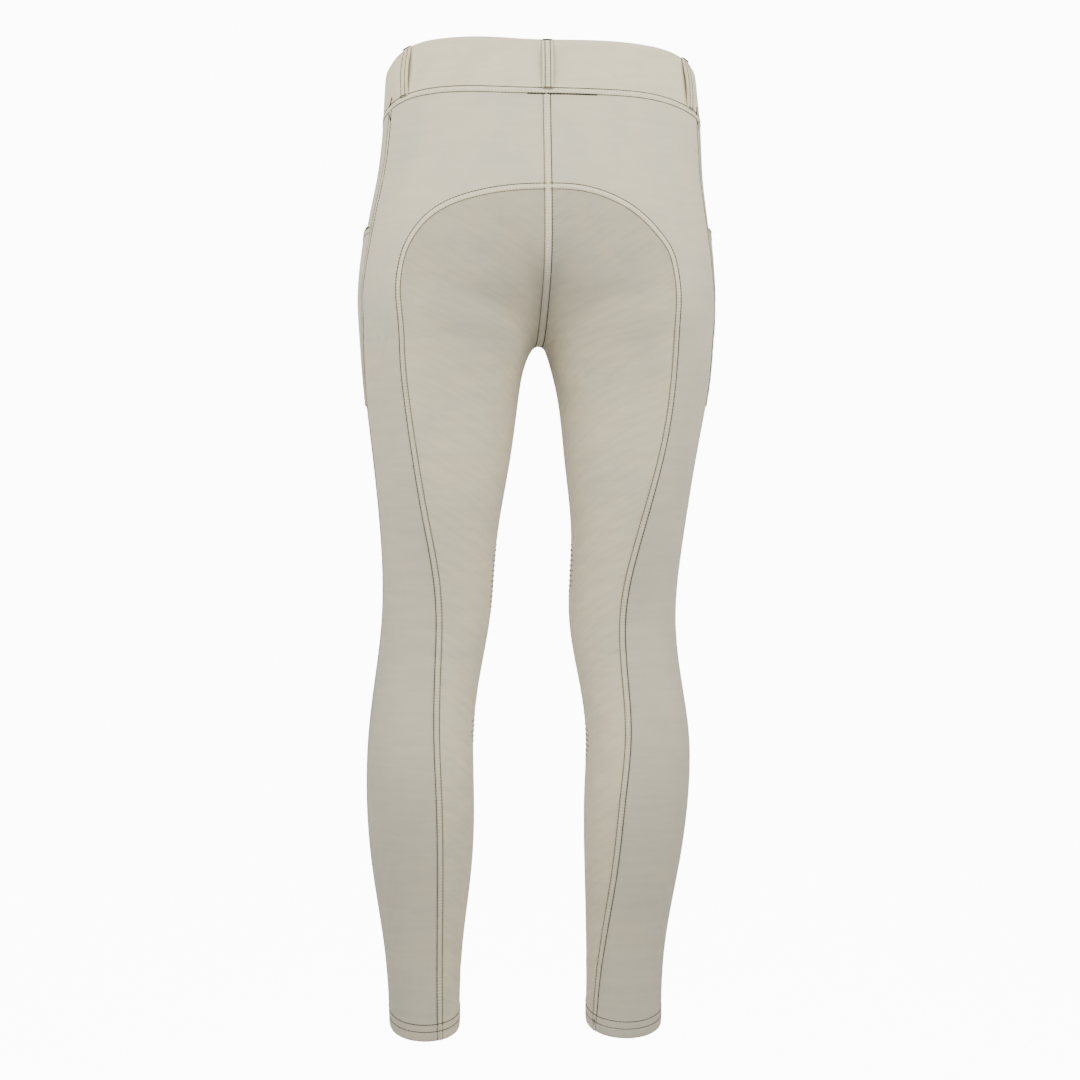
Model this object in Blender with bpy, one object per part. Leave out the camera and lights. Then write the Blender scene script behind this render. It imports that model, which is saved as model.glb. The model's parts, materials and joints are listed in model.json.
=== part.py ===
"""Riding tights in light stretch cloth, standing open in the shape they have when worn.

The frame is the garment's own: +Z up, the wearer faces -Y, the wearer's left leg is at +X.
The origin is the middle of the waistband ring. All lengths are metres, all turns degrees.

Every cloth piece is a grid laid on one smooth surface. A point of that surface has a side
(1 for the left half, -1 for the right), a share of the way round that half (0 at the centre
front or the inner leg, 0.5 at the outer side, 1 at the centre back or the inner leg again)
and a height.
"""
import math

import bmesh
import bpy
import numpy as np

# Driving dimensions
CLOTH = 0.0012          # wall of the body cloth
BAND_CLOTH = 0.0026     # wall of the doubled waistband
LOOP_CLOTH = 0.0016     # wall of a folded belt loop
SEAM_GAP = 0.0003       # between pieces that are sewn together
LAY_GAP = 0.0003        # between a piece and the panel that it lies on

APEX_HEIGHT = -0.1135   # where the seat piece starts on the centre back seam
THIGH_HEIGHT = -0.262   # seat and side seams level with the crotch
YOKE_SIDE = -0.080      # side seam level with the seat piece's start

POCKET_TOP = -0.142
POCKET_BOTTOM = -0.316
POCKET_BULGE = 0.0014   # how far the pocket's middle stands off the thigh
POCKET_MOUTH = 0.15     # how much of the bulge's arch the open top cuts off, as a share
POCKET_SLOPE = 0.15     # how far the pocket's edges fall towards the front, as a share
POCKET_COLUMNS = 5

HEM_LEVEL = -0.928
HEM_SLANT = 0.012       # the hem is lower at the back than at the sides
HEM_DEPTH = 0.020
HEM_STEP = 0.0006       # the turned-up cloth makes the hem this much thicker

LOOP_WIDTH = 0.0105
LOOP_BOW = 0.0026       # how far a belt loop's middle stands off the band
LOOP_PLACES = {
    "loop_centre_back": 1.003,
    "loop_left_back": 0.630,
    "loop_right_back": 1.386,
    "loop_left_front": 2.215,
    "loop_right_front": 1.785,
}

# Grid rows and columns
YOKE_ROWS = 5           # centre back, waist seam to the seat piece
ARCH_ROWS = 11          # seat piece, its top to the crotch
LEG_ROWS = 26           # crotch to hem
POCKET_START = 4        # rows below the yoke where the pocket opens
POCKET_LEG_ROWS = 2     # rows below the crotch where it ends
HEM_EASE_ROWS = 6       # rows over which a panel takes up the slant of the hem
FRONT_COLUMNS = 11
OUTER_COLUMNS = 8
SEAT_COLUMNS = 10
BAND_ROWS = 2
LOOP_ROWS = 8
LOOP_COLUMNS = 2

# Level sections of the worn garment. Each leg is a rounded lobe, from its inner to its outer
# side, and an inner value below zero means that the two lobes run into each other there.
SECTION_COLUMNS = (
    "height", "outer_left", "inner_left", "outer_right", "inner_right", "front", "back")
SECTIONS = (
    (0.060, 0.150, -0.110, 0.154, -0.114, -0.092, 0.088),
    (0.020, 0.152, -0.112, 0.157, -0.117, -0.096, 0.093),
    (-0.035, 0.155, -0.115, 0.162, -0.120, -0.101, 0.101),
    (-0.090, 0.161, -0.117, 0.164, -0.121, -0.106, 0.112),
    (-0.130, 0.169, -0.112, 0.168, -0.114, -0.108, 0.119),
    (-0.170, 0.175, -0.082, 0.172, -0.082, -0.107, 0.122),
    (-0.210, 0.178, -0.026, 0.174, -0.026, -0.103, 0.119),
    (-0.240, 0.177, -0.003, 0.174, -0.003, -0.100, 0.111),
    (-0.258, 0.176, 0.006, 0.173, 0.006, -0.098, 0.104),
    (-0.275, 0.175, 0.013, 0.172, 0.012, -0.096, 0.098),
    (-0.310, 0.172, 0.020, 0.168, 0.020, -0.093, 0.088),
    (-0.370, 0.165, 0.028, 0.158, 0.027, -0.088, 0.077),
    (-0.450, 0.157, 0.041, 0.146, 0.034, -0.079, 0.062),
    (-0.530, 0.156, 0.048, 0.139, 0.032, -0.069, 0.049),
    (-0.590, 0.163, 0.059, 0.144, 0.041, -0.058, 0.052),
    (-0.640, 0.169, 0.065, 0.150, 0.047, -0.049, 0.061),
    (-0.700, 0.171, 0.065, 0.149, 0.045, -0.042, 0.068),
    (-0.770, 0.166, 0.067, 0.140, 0.045, -0.036, 0.063),
    (-0.850, 0.154, 0.076, 0.126, 0.047, -0.031, 0.052),
    (-0.910, 0.149, 0.079, 0.122, 0.047, -0.029, 0.049),
    (-0.960, 0.148, 0.079, 0.122, 0.046, -0.029, 0.048),
)
LOBE_BLEND = 0.020      # width over which the two lobes melt into each other
TORSO_FULLNESS = 2.25   # superellipse power at the hips
LEG_FULLNESS = 2.10     # superellipse power down the legs
TORSO_FROM = -0.250     # the power changes between these heights
TORSO_TO = -0.130

# The waistband's upper and lower edge by share of the way round each half
WAIST_COLUMNS = ("share", "rim_left", "rim_right", "seam_left", "seam_right")
WAIST = (
    (0.00, -0.0040, -0.0040, -0.0530, -0.0530),
    (0.20, -0.0010, -0.0010, -0.0500, -0.0500),
    (0.38, 0.0045, 0.0050, -0.0440, -0.0440),
    (0.50, 0.0110, 0.0115, -0.0365, -0.0385),
    (0.56, 0.0180, 0.0165, -0.0315, -0.0355),
    (0.60, 0.0250, 0.0215, -0.0265, -0.0325),
    (0.65, 0.0315, 0.0270, -0.0220, -0.0280),
    (0.72, 0.0345, 0.0305, -0.0195, -0.0235),
    (0.82, 0.0345, 0.0320, -0.0200, -0.0220),
    (0.93, 0.0320, 0.0316, -0.0217, -0.0220),
    (1.00, 0.0312, 0.0312, -0.0220, -0.0220),
)

SIDE_SHARE = 0.58       # about where the side seams meet the waistband

# The side seam's turn behind the outer side of each leg
SIDE_COLUMNS = ("height", "turn")
SIDE_SEAM = (
    (0.060, 15.0),
    (-0.090, 16.0),
    (-0.200, 15.0),
    (-0.320, 11.0),
    (-0.450, 5.0),
    (-0.600, 1.0),
    (-0.800, 0.0),
    (-0.960, 0.0),
)

# Where the pocket's front edge lies, as a turn before the outer side; the front panel's
# columns follow this line above and below the pocket too
POCKET_LINE_COLUMNS = ("height", "turn")
POCKET_LINE = (
    (0.060, 36.0),
    (-0.060, 43.0),
    (-0.142, 53.0),
    (-0.230, 58.0),
    (-0.320, 61.0),
    (-0.450, 64.0),
    (-0.700, 66.0),
    (-0.960, 66.0),
)

# The full seat's outer seam, from the centre back down to the hem, as turns behind the
# outer side of each leg. The first turn is the centre back seam itself.
SEAT_SEAM_COLUMNS = ("height", "turn_left", "turn_right")
SEAT_SEAM = (
    (APEX_HEIGHT, None, None),
    (-0.1145, 89.0, 87.0),
    (-0.1215, 67.5, 73.5),
    (-0.1380, 51.2, 61.0),
    (-0.1560, 45.8, 55.2),
    (-0.1740, 45.2, 53.4),
    (-0.1950, 49.2, 57.6),
    (-0.2250, 56.4, 64.4),
    (THIGH_HEIGHT, 61.4, 68.6),
    (-0.3100, 64.5, 70.6),
    (-0.3600, 68.3, 73.6),
    (-0.4200, 75.6, 82.4),
    (-0.4850, 85.7, 92.0),
    (-0.5450, 92.6, 97.3),
    (-0.6160, 101.6, 103.6),
    (-0.7000, 107.0, 110.2),
    (-0.7800, 109.0, 117.0),
    (-0.8500, 110.5, 130.0),
    (-0.9000, 110.7, 140.6),
    (-0.9370, 110.9, 145.0),
)

# The full seat's inner seam, which runs from the crotch down the front of the inner leg.
# A turn of 180 is the middle of the inner leg, and more than that lies in front of it.
INNER_COLUMNS = ("height", "turn")
INNER_SEAM = (
    (-0.2557, 180.0),
    (-0.2750, 190.0),
    (-0.3200, 202.0),
    (-0.4000, 212.0),
    (-0.5200, 217.0),
    (-0.6400, 214.0),
    (-0.8000, 206.0),
    (-0.9600, 200.0),
)

# Colours in linear light
STONE = (0.560, 0.527, 0.461)
STONE_BAND = (0.610, 0.574, 0.500)
STONE_SEAT = (0.530, 0.494, 0.425)
CLOTH_ROUGHNESS = 0.82
BAND_ROUGHNESS = 0.78

# How finely the surface is searched and measured
HALVINGS = 40
FARTHEST = 0.3          # metres, more than any point's distance from its leg's middle
NORMAL_STEP = 0.0008    # as a share across and in metres along
FINE_STEPS = 400        # when the length of a seam is measured
CROTCH_BELOW = -0.20    # the legs part below this height
CROTCH_ABOVE = -0.30    # and above this one
MERGE_WITHIN = 0.0001   # grid points this close are one
SHARP_DEGREES = 50.0    # edges that turn more than this stay crisp


def clear_scene():
    """Empty the scene of whatever it held."""
    for item in list(bpy.data.objects):
        bpy.data.objects.remove(item, do_unlink=True)


def named_column(table, names, name):
    """One column of a table, as an array."""
    place = names.index(name)
    return np.array([row[place] for row in table], dtype=float)


def smooth_curve(knots, values):
    """The natural cubic curve through the values, like a bent spline laid over the knots."""
    order = np.argsort(knots)
    knots = np.asarray(knots, dtype=float)[order]
    values = np.asarray(values, dtype=float)[order]
    count = len(knots)
    steps = np.diff(knots)
    slopes = np.diff(values) / steps
    system = np.eye(count)
    known = np.zeros(count)
    for i in range(1, count - 1):
        system[i, i - 1] = steps[i - 1]
        system[i, i] = 2.0 * (steps[i - 1] + steps[i])
        system[i, i + 1] = steps[i]
        known[i] = 6.0 * (slopes[i] - slopes[i - 1])
    bends = np.linalg.solve(system, known)

    def read(where):
        where = np.clip(where, knots[0], knots[-1])
        i = np.clip(np.searchsorted(knots, where) - 1, 0, count - 2)
        back = (knots[i + 1] - where) / steps[i]
        ahead = 1.0 - back
        bend = (back**3 - back) * bends[i] + (ahead**3 - ahead) * bends[i + 1]
        return back * values[i] + ahead * values[i + 1] + bend * steps[i]**2 / 6.0

    return read


def table_curves(table, names):
    """A smooth curve of every later column over the first one, by column name."""
    knots = named_column(table, names, names[0])
    return {name: smooth_curve(knots, named_column(table, names, name)) for name in names[1:]}


SECTION = table_curves(SECTIONS, SECTION_COLUMNS)
WAISTLINE = table_curves(WAIST, WAIST_COLUMNS)
SIDE_TURN = table_curves(SIDE_SEAM, SIDE_COLUMNS)["turn"]
POCKET_TURN = table_curves(POCKET_LINE, POCKET_LINE_COLUMNS)["turn"]


def side_name(side):
    """The word for a half of the garment."""
    return "left" if side > 0 else "right"


def leg_middle(side, height):
    """The middle of one leg's lobe at a height, where turns are measured from."""
    name = side_name(side)
    across = SECTION["outer_" + name](height) + SECTION["inner_" + name](height)
    depth = SECTION["front"](height) + SECTION["back"](height)
    return side * across / 2.0, depth / 2.0


def lobe_distance(side, x, y, height):
    """Roughly how far a point lies outside one leg's lobe, below zero inside it."""
    name = side_name(side)
    middle_x, middle_y = leg_middle(side, height)
    half_width = (SECTION["outer_" + name](height) - SECTION["inner_" + name](height)) / 2.0
    half_depth = (SECTION["back"](height) - SECTION["front"](height)) / 2.0
    share = np.clip((height - TORSO_FROM) / (TORSO_TO - TORSO_FROM), 0.0, 1.0)
    power = LEG_FULLNESS + (TORSO_FULLNESS - LEG_FULLNESS) * share
    wide = np.abs((x - middle_x) / half_width)**power
    deep = np.abs((y - middle_y) / half_depth)**power
    return ((wide + deep)**(1.0 / power) - 1.0) * half_width


def outside(x, y, height):
    """How far a point lies outside both lobes, which melt into each other at the crotch."""
    left = lobe_distance(1, x, y, height)
    right = lobe_distance(-1, x, y, height)
    near = np.clip(1.0 - np.abs(left - right) / LOBE_BLEND, 0.0, None)
    return np.minimum(left, right) - near**2 * LOBE_BLEND / 4.0


def reach(x, y, step_x, step_y, height):
    """The distance from an inner point to the surface, without crossing the centre plane."""
    inward = x * step_x < -1e-9
    limit = np.where(inward, -x / np.where(inward, step_x, 1.0), 1.0)
    near = np.zeros_like(height)
    far = np.minimum(limit, FARTHEST)
    for _ in range(HALVINGS):
        middle = (near + far) / 2.0
        beyond = outside(x + step_x * middle, y + step_y * middle, height) > 0.0
        far = np.where(beyond, middle, far)
        near = np.where(beyond, near, middle)
    return (near + far) / 2.0


def end_turns(side, height):
    """The turns of the front and back ends of a half section, 180 where the leg is closed."""
    middle_x, middle_y = leg_middle(side, height)
    zero = np.zeros_like(height)
    joined = outside(zero, middle_y, height) < 0.0
    front = reach(zero, middle_y, zero, zero - 1.0, height)
    back = reach(zero, middle_y, zero, zero + 1.0, height)
    front_turn = np.where(joined, np.arctan2(front, -np.abs(middle_x)), math.pi)
    back_turn = np.where(joined, np.arctan2(back, -np.abs(middle_x)), math.pi)
    return front_turn, back_turn


def surface(side, share, height):
    """Points of the garment's outer surface."""
    share, height = np.broadcast_arrays(np.asarray(share, float), np.asarray(height, float))
    middle_x, middle_y = leg_middle(side, height)
    front_turn, back_turn = end_turns(side, height)
    turn = np.where(share < 0.5, -front_turn, back_turn) * np.abs(2.0 * share - 1.0)
    step_x = side * np.cos(turn)
    step_y = np.sin(turn)
    distance = reach(middle_x, middle_y, step_x, step_y, height)
    x = middle_x + step_x * distance
    y = middle_y + step_y * distance
    return np.stack([x, y, height], axis=-1)


def outward(side, share, height):
    """Unit normals of the surface, pointing away from the wearer."""
    step = NORMAL_STEP
    share = np.asarray(share, float)
    height = np.asarray(height, float)
    low = np.maximum(share - step, 0.0)
    high = np.where(share <= 1.0, np.minimum(share + step, 1.0), share + step)
    around = surface(side, high, height) - surface(side, low, height)
    along = surface(side, share, height + step) - surface(side, share, height - step)
    normal = np.cross(around, along) * side
    on_centre = (share <= 0.0) | (share == 1.0)
    normal[..., 0] = np.where(on_centre, 0.0, normal[..., 0])
    return normal / np.linalg.norm(normal, axis=-1, keepdims=True)


def share_of_turn(side, turn, height):
    """The share of the way round for a turn behind the outer side."""
    back_turn = end_turns(side, height)[1]
    return 0.5 + np.radians(turn) / (2.0 * back_turn)


def crotch_height():
    """The height where the two legs part."""
    low = CROTCH_ABOVE
    high = CROTCH_BELOW
    for _ in range(HALVINGS):
        middle = np.array([(low + high) / 2.0])
        if outside(np.zeros(1), leg_middle(1, middle)[1], middle)[0] < 0.0:
            high = middle[0]
        else:
            low = middle[0]
    return high


def hem_height(turn):
    """The hem's height at a turn: lowest at the back of the leg."""
    return HEM_LEVEL - HEM_SLANT * np.sin(np.radians(turn))


def even_steps(points, count):
    """Where along a run of points its length divides evenly, in shares of the run."""
    lengths = np.linalg.norm(np.diff(points, axis=0), axis=1)
    travelled = np.concatenate([[0.0], np.cumsum(lengths)])
    return np.interp(np.linspace(0.0, travelled[-1], count + 1), travelled,
                     np.linspace(0.0, 1.0, len(points)))


def centre_run(share, top, rows):
    """Heights down the centre front or back to the crotch, evenly spaced along the seam."""
    fine = np.linspace(0.0, 1.0, FINE_STEPS)
    bottom = crotch_height()
    heights = bottom + (top - bottom) * (1.0 - fine)**2
    steps = even_steps(surface(1, np.full_like(fine, share), heights), rows)
    heights = np.interp(steps, fine, heights)
    return np.full(rows + 1, share), heights


def side_run(side):
    """The side seam's rows: waist, yoke, pocket, crotch level, hem."""
    waist = WAISTLINE["seam_" + side_name(side)](SIDE_SHARE)
    marks = (
        (0, waist),
        (YOKE_ROWS, YOKE_SIDE),
        (YOKE_ROWS + POCKET_START, POCKET_TOP),
        (YOKE_ROWS + ARCH_ROWS, THIGH_HEIGHT),
        (YOKE_ROWS + ARCH_ROWS + POCKET_LEG_ROWS, POCKET_BOTTOM),
        (YOKE_ROWS + ARCH_ROWS + LEG_ROWS, hem_height(0.0)),
    )
    rows = np.arange(marks[-1][0] + 1)
    heights = np.interp(rows, [mark[0] for mark in marks], [mark[1] for mark in marks])
    shares = share_of_turn(side, SIDE_TURN(heights), heights)
    heights[0] = WAISTLINE["seam_" + side_name(side)](shares[0])
    return shares, heights


def seat_run(side):
    """The full seat's outer seam: rows round its arch, then rows down the leg."""
    heights = named_column(SEAT_SEAM, SEAT_SEAM_COLUMNS, "height")
    turns = named_column(SEAT_SEAM, SEAT_SEAM_COLUMNS, "turn_" + side_name(side))
    turns[0] = np.degrees(end_turns(side, heights[:1])[1])[0]
    heights[-1] = hem_height(turns[-1])
    corners = surface(side, share_of_turn(side, turns, heights), heights)
    travelled = np.concatenate([[0.0], np.cumsum(np.linalg.norm(np.diff(corners, axis=0), axis=1))])
    level = travelled[[row[0] for row in SEAT_SEAM].index(THIGH_HEIGHT)]
    arch = np.linspace(0.0, level, ARCH_ROWS + 1)
    leg = np.linspace(level, travelled[-1], LEG_ROWS + 1)
    where = np.concatenate([arch, leg[1:]])
    heights = smooth_curve(travelled, heights)(where)
    turns = smooth_curve(travelled, turns)(where)
    shares = share_of_turn(side, turns, heights)
    shares[0] = 1.0
    return shares, heights


def inner_run(side):
    """The full seat's inner seam, from the crotch to the hem."""
    crotch = crotch_height()
    knots = named_column(INNER_SEAM, INNER_COLUMNS, "height")
    knots[0] = crotch
    turn_at = smooth_curve(knots, named_column(INNER_SEAM, INNER_COLUMNS, "turn"))
    bottom = hem_height(turn_at(hem_height(180.0)))
    heights = np.linspace(crotch, bottom, LEG_ROWS + 1)
    pocket = POCKET_LEG_ROWS + 1
    heights[:pocket] = np.linspace(crotch, POCKET_BOTTOM, pocket)
    heights[POCKET_LEG_ROWS:] = np.linspace(POCKET_BOTTOM, bottom, LEG_ROWS - POCKET_LEG_ROWS + 1)
    shares = 0.5 + turn_at(heights) / 360.0
    shares[0] = 1.0
    return shares, heights


def ruled(first, last, columns):
    """A grid of shares and heights between two seams with the same number of rows."""
    mix = np.linspace(0.0, 1.0, columns + 1)[:, None]
    shares = first[0] * (1.0 - mix) + last[0] * mix
    heights = first[1] * (1.0 - mix) + last[1] * mix
    return shares, heights


def ease_to_hem(shares, heights):
    """Bring a panel's last row to the slanting hem, and the rows above it part of the way."""
    off = hem_height(360.0 * (shares[:, -1] - 0.5)) - heights[:, -1]
    fade = np.linspace(0.0, 1.0, HEM_EASE_ROWS + 1)
    heights[:, -HEM_EASE_ROWS - 1:] += off[:, None] * fade


def ease_to_waist(side, shares, heights):
    """Bring a panel's first row to the waist seam, and the rows below it part of the way."""
    off = WAISTLINE["seam_" + side_name(side)](shares[:, 0]) - heights[:, 0]
    rows = YOKE_ROWS + POCKET_START
    heights[:, :rows + 1] += off[:, None] * np.linspace(1.0, 0.0, rows + 1)


def pocket_run(side, outer, inner):
    """The line of the pocket's front edge, from the waist to the hem."""
    heights = outer[1] * (1.0 - POCKET_SLOPE) + inner[1] * POCKET_SLOPE
    front_turn = end_turns(side, heights)[0]
    return 0.5 - np.radians(POCKET_TURN(heights)) / (2.0 * front_turn), heights


def front_grid(side):
    """The front panel, from the side seam to the centre front and the inner seam."""
    centre = centre_run(0.0, WAISTLINE["seam_left"](0.0), YOKE_ROWS + ARCH_ROWS)
    inner = inner_run(side)
    edge = (np.concatenate([centre[0], inner[0][1:] - 1.0]),
            np.concatenate([centre[1], inner[1][1:]]))
    outer = side_run(side)
    line = pocket_run(side, outer, edge)
    under = ruled(outer, line, POCKET_COLUMNS)
    rest = ruled(line, edge, FRONT_COLUMNS - POCKET_COLUMNS)
    shares = np.concatenate([under[0], rest[0][1:]])
    heights = np.concatenate([under[1], rest[1][1:]])
    ease_to_waist(side, shares, heights)
    ease_to_hem(shares, heights)
    return shares, heights


def outer_grid(side):
    """The outer back panel, from the side seam to the centre back and the full seat."""
    seam = WAISTLINE["seam_left"](1.0)
    yoke = np.linspace(seam, APEX_HEIGHT, YOKE_ROWS + 1)
    seat = seat_run(side)
    edge = (np.concatenate([np.ones(YOKE_ROWS), seat[0]]),
            np.concatenate([yoke[:-1], seat[1]]))
    shares, heights = ruled(side_run(side), edge, OUTER_COLUMNS)
    ease_to_waist(side, shares, heights)
    ease_to_hem(shares, heights)
    return shares, heights


def seat_grid(side):
    """The full seat and inner leg, from its outer seam round the back to its inner seam."""
    centre = centre_run(1.0, APEX_HEIGHT, ARCH_ROWS)
    inner = inner_run(side)
    edge = (np.concatenate([centre[0], inner[0][1:]]),
            np.concatenate([centre[1], inner[1][1:]]))
    shares, heights = ruled(seat_run(side), edge, SEAT_COLUMNS)
    ease_to_hem(shares, heights)
    return shares, heights


def hem_lift(shares, heights):
    """How far the outer face stands out where the cloth is turned up at the hem."""
    above = heights - hem_height(360.0 * (shares - 0.5))
    return HEM_STEP * np.clip(1.0 - above / HEM_DEPTH, 0.0, 1.0)


def ring_place(place):
    """Side and share for a place on the ring: 0 front, 1 centre back, 2 front again."""
    place = np.mod(place, 2.0)
    side = np.where(place <= 1.0, 1, -1)
    share = np.where(place <= 1.0, place, 2.0 - place)
    return side, share


def ring_points(place, height):
    """Surface points and normals for places on the ring."""
    side, share = ring_place(place)
    points = np.empty(share.shape + (3,))
    normals = np.empty(share.shape + (3,))
    for half in (1, -1):
        mine = side == half
        points[mine] = surface(half, share[mine], height[mine])
        normals[mine] = outward(half, share[mine], height[mine])
    return points, normals


def waist_edge(edge, place):
    """Height of the waistband's rim or seam at places on the ring."""
    side, share = ring_place(place)
    left = WAISTLINE[edge + "_left"](share)
    right = WAISTLINE[edge + "_right"](share)
    return np.where(side > 0, left, right)


def new_material(name, colour, roughness):
    """A plain cloth material."""
    material = bpy.data.materials.new(name)
    material.use_nodes = True
    shader = material.node_tree.nodes["Principled BSDF"]
    shader.inputs["Base Color"].default_value = (*colour, 1.0)
    shader.inputs["Roughness"].default_value = roughness
    shader.inputs["Metallic"].default_value = 0.0
    material.diffuse_color = (*colour, 1.0)
    return material


def seam_allowance(bm, normals):
    """Draw the edge of a piece back by half the seam gap, within the cloth."""
    pulls = {vert: [] for vert in bm.verts if vert.is_boundary}
    for edge in bm.edges:
        if not edge.is_boundary:
            continue
        along = (edge.verts[1].co - edge.verts[0].co).normalized()
        middle = (edge.verts[0].co + edge.verts[1].co) / 2.0
        inside = edge.link_faces[0].calc_center_median() - middle
        for vert in edge.verts:
            pull = along.cross(vert[normals]).normalized()
            pulls[vert].append(pull if pull.dot(inside) > 0.0 else -pull)
    for vert, (one, two) in pulls.items():
        both = one + two
        vert.co += both * (SEAM_GAP / both.length_squared)


def make_cloth(name, points, normals, lift, wall, material):
    """A closed cloth piece from a grid of points, its outer face lifted along the normals."""
    columns = points.shape[0] - 1
    rows = points.shape[1] - 1
    bm = bmesh.new()
    bmesh.ops.create_grid(bm, x_segments=columns, y_segments=rows, size=0.5)
    layer = bm.verts.layers.float_vector.new("outward")
    for vert in bm.verts:
        i = round((vert.co.x + 0.5) * columns)
        j = round((0.5 - vert.co.y) * rows)
        vert.co = points[i, j] + normals[i, j] * lift[i, j]
        vert[layer] = normals[i, j]
    bmesh.ops.remove_doubles(bm, verts=bm.verts, dist=MERGE_WITHIN)
    seam_allowance(bm, layer)
    made = bmesh.ops.extrude_face_region(bm, geom=list(bm.faces))
    thickness = {vert: wall for vert in made["geom"] if isinstance(vert, bmesh.types.BMVert)}
    for vert, depth in thickness.items():
        vert.co -= vert[layer] * depth
    bmesh.ops.recalc_face_normals(bm, faces=bm.faces)
    mesh = bpy.data.meshes.new(name)
    bm.to_mesh(mesh)
    bm.free()
    mesh.shade_smooth()
    mesh.set_sharp_from_angle(angle=math.radians(SHARP_DEGREES))
    mesh.materials.append(material)
    piece = bpy.data.objects.new(name, mesh)
    bpy.context.scene.collection.objects.link(piece)
    return piece


def make_panels(side, body, seat):
    """The three large panels of one leg and its pocket."""
    name = side_name(side)
    grids = (
        ("front_" + name, front_grid(side), body),
        ("outer_back_" + name, outer_grid(side), body),
        ("seat_" + name, seat_grid(side), seat),
    )
    for title, (shares, heights), material in grids:
        points = surface(side, shares, heights)
        normals = outward(side, shares, heights)
        lift = hem_lift(shares, heights)
        make_cloth(title, points, normals, lift, CLOTH, material)
    make_pocket(side, body)


def make_pocket(side, material):
    """The thigh pocket: part of the front panel's own grid, moved out."""
    shares, heights = front_grid(side)
    top = YOKE_ROWS + POCKET_START
    bottom = YOKE_ROWS + ARCH_ROWS + POCKET_LEG_ROWS
    shares = shares[:POCKET_COLUMNS + 1, top:bottom + 1]
    heights = heights[:POCKET_COLUMNS + 1, top:bottom + 1]
    across = np.linspace(0.0, 1.0, shares.shape[0])[:, None]
    down = np.linspace(0.0, 1.0, shares.shape[1])[None, :]
    arch = POCKET_MOUTH + (1.0 - POCKET_MOUTH) * down
    bulge = np.sin(math.pi * across) * np.sin(math.pi * arch)
    lift = LAY_GAP + CLOTH + POCKET_BULGE * bulge
    points = surface(side, shares, heights)
    normals = outward(side, shares, heights)
    make_cloth("pocket_" + side_name(side), points, normals, lift, CLOTH, material)


def band_places():
    """Places round the ring where the panels' columns meet the front and back bands."""
    front = np.concatenate([2.0 - front_grid(-1)[0][:, 0], 2.0 + front_grid(1)[0][-2::-1, 0]])
    back = np.concatenate([outer_grid(1)[0][:, 0], 2.0 - outer_grid(-1)[0][-2::-1, 0]])
    return front, back


def band_grid(places):
    """Points and normals of one half of the waistband, rim first."""
    place = places[:, None] + np.zeros((1, BAND_ROWS + 1))
    down = np.linspace(0.0, 1.0, BAND_ROWS + 1)[None, :]
    height = waist_edge("rim", place) * (1.0 - down) + waist_edge("seam", place) * down
    return ring_points(place, height)


def make_waistband(name, places, material):
    """One half of the waistband, between the places where the side seams meet it."""
    points, normals = band_grid(places)
    make_cloth(name, points, normals, np.zeros(points.shape[:2]), BAND_CLOTH, material)


def between(grid, column, row):
    """A value between the points of a grid, at part columns and part rows."""
    i = np.clip(np.floor(column).astype(int), 0, grid.shape[0] - 2)
    j = np.clip(np.floor(row).astype(int), 0, grid.shape[1] - 2)
    u = (column - i)[..., None]
    v = (row - j)[..., None]
    upper = grid[i, j] * (1.0 - u) + grid[i + 1, j] * u
    lower = grid[i, j + 1] * (1.0 - u) + grid[i + 1, j + 1] * u
    return upper * (1.0 - v) + lower * v


def make_loop(name, place, places, material):
    """A belt loop on the band's own faces, sewn at rim and seam and bowed out between."""
    points, normals = band_grid(places)
    middle = np.interp(place, places, np.arange(len(places)))
    whole = int(middle)
    width = np.linalg.norm(points[whole + 1, 0] - points[whole, 0])
    columns = middle + np.linspace(-0.5, 0.5, LOOP_COLUMNS + 1)[:, None] * LOOP_WIDTH / width
    down = np.linspace(0.0, 1.0, LOOP_ROWS + 1)[None, :]
    column = columns + np.zeros_like(down)
    row = np.zeros_like(columns) + down * BAND_ROWS
    lift = LAY_GAP + LOOP_CLOTH + LOOP_BOW * np.sin(math.pi * down) + np.zeros_like(columns)
    outer = between(points, column, row)
    facing = between(normals, column, row)
    make_cloth(name, outer, facing, lift, LOOP_CLOTH, material)


def build():
    """Build every piece of the tights."""
    clear_scene()
    body = new_material("stretch_cloth", STONE, CLOTH_ROUGHNESS)
    seat = new_material("brushed_seat_cloth", STONE_SEAT, CLOTH_ROUGHNESS)
    band = new_material("waistband_cloth", STONE_BAND, BAND_ROUGHNESS)
    for side in (1, -1):
        make_panels(side, body, seat)
    front, back = band_places()
    make_waistband("waistband_front", front, band)
    make_waistband("waistband_back", back, band)
    for name, place in LOOP_PLACES.items():
        if name.endswith("back"):
            make_loop(name, place, back, band)
        else:
            make_loop(name, place, front, band)


build()
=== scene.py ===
# %% [markdown]
# # Riding tights in light stretch cloth
# The real garment is cut from six large panels of thin stretch cloth, sewn edge to edge with
# flat seams under a doubled waistband. It is seen from behind, in the form that it takes when it
# is worn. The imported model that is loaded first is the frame: it gives every piece its true
# place. Each of its plain cloth pieces is then replaced by a finer shell of the same form, and
# the seams, stitches and grip dots are laid on those shells.

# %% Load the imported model
import json
import math

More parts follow.
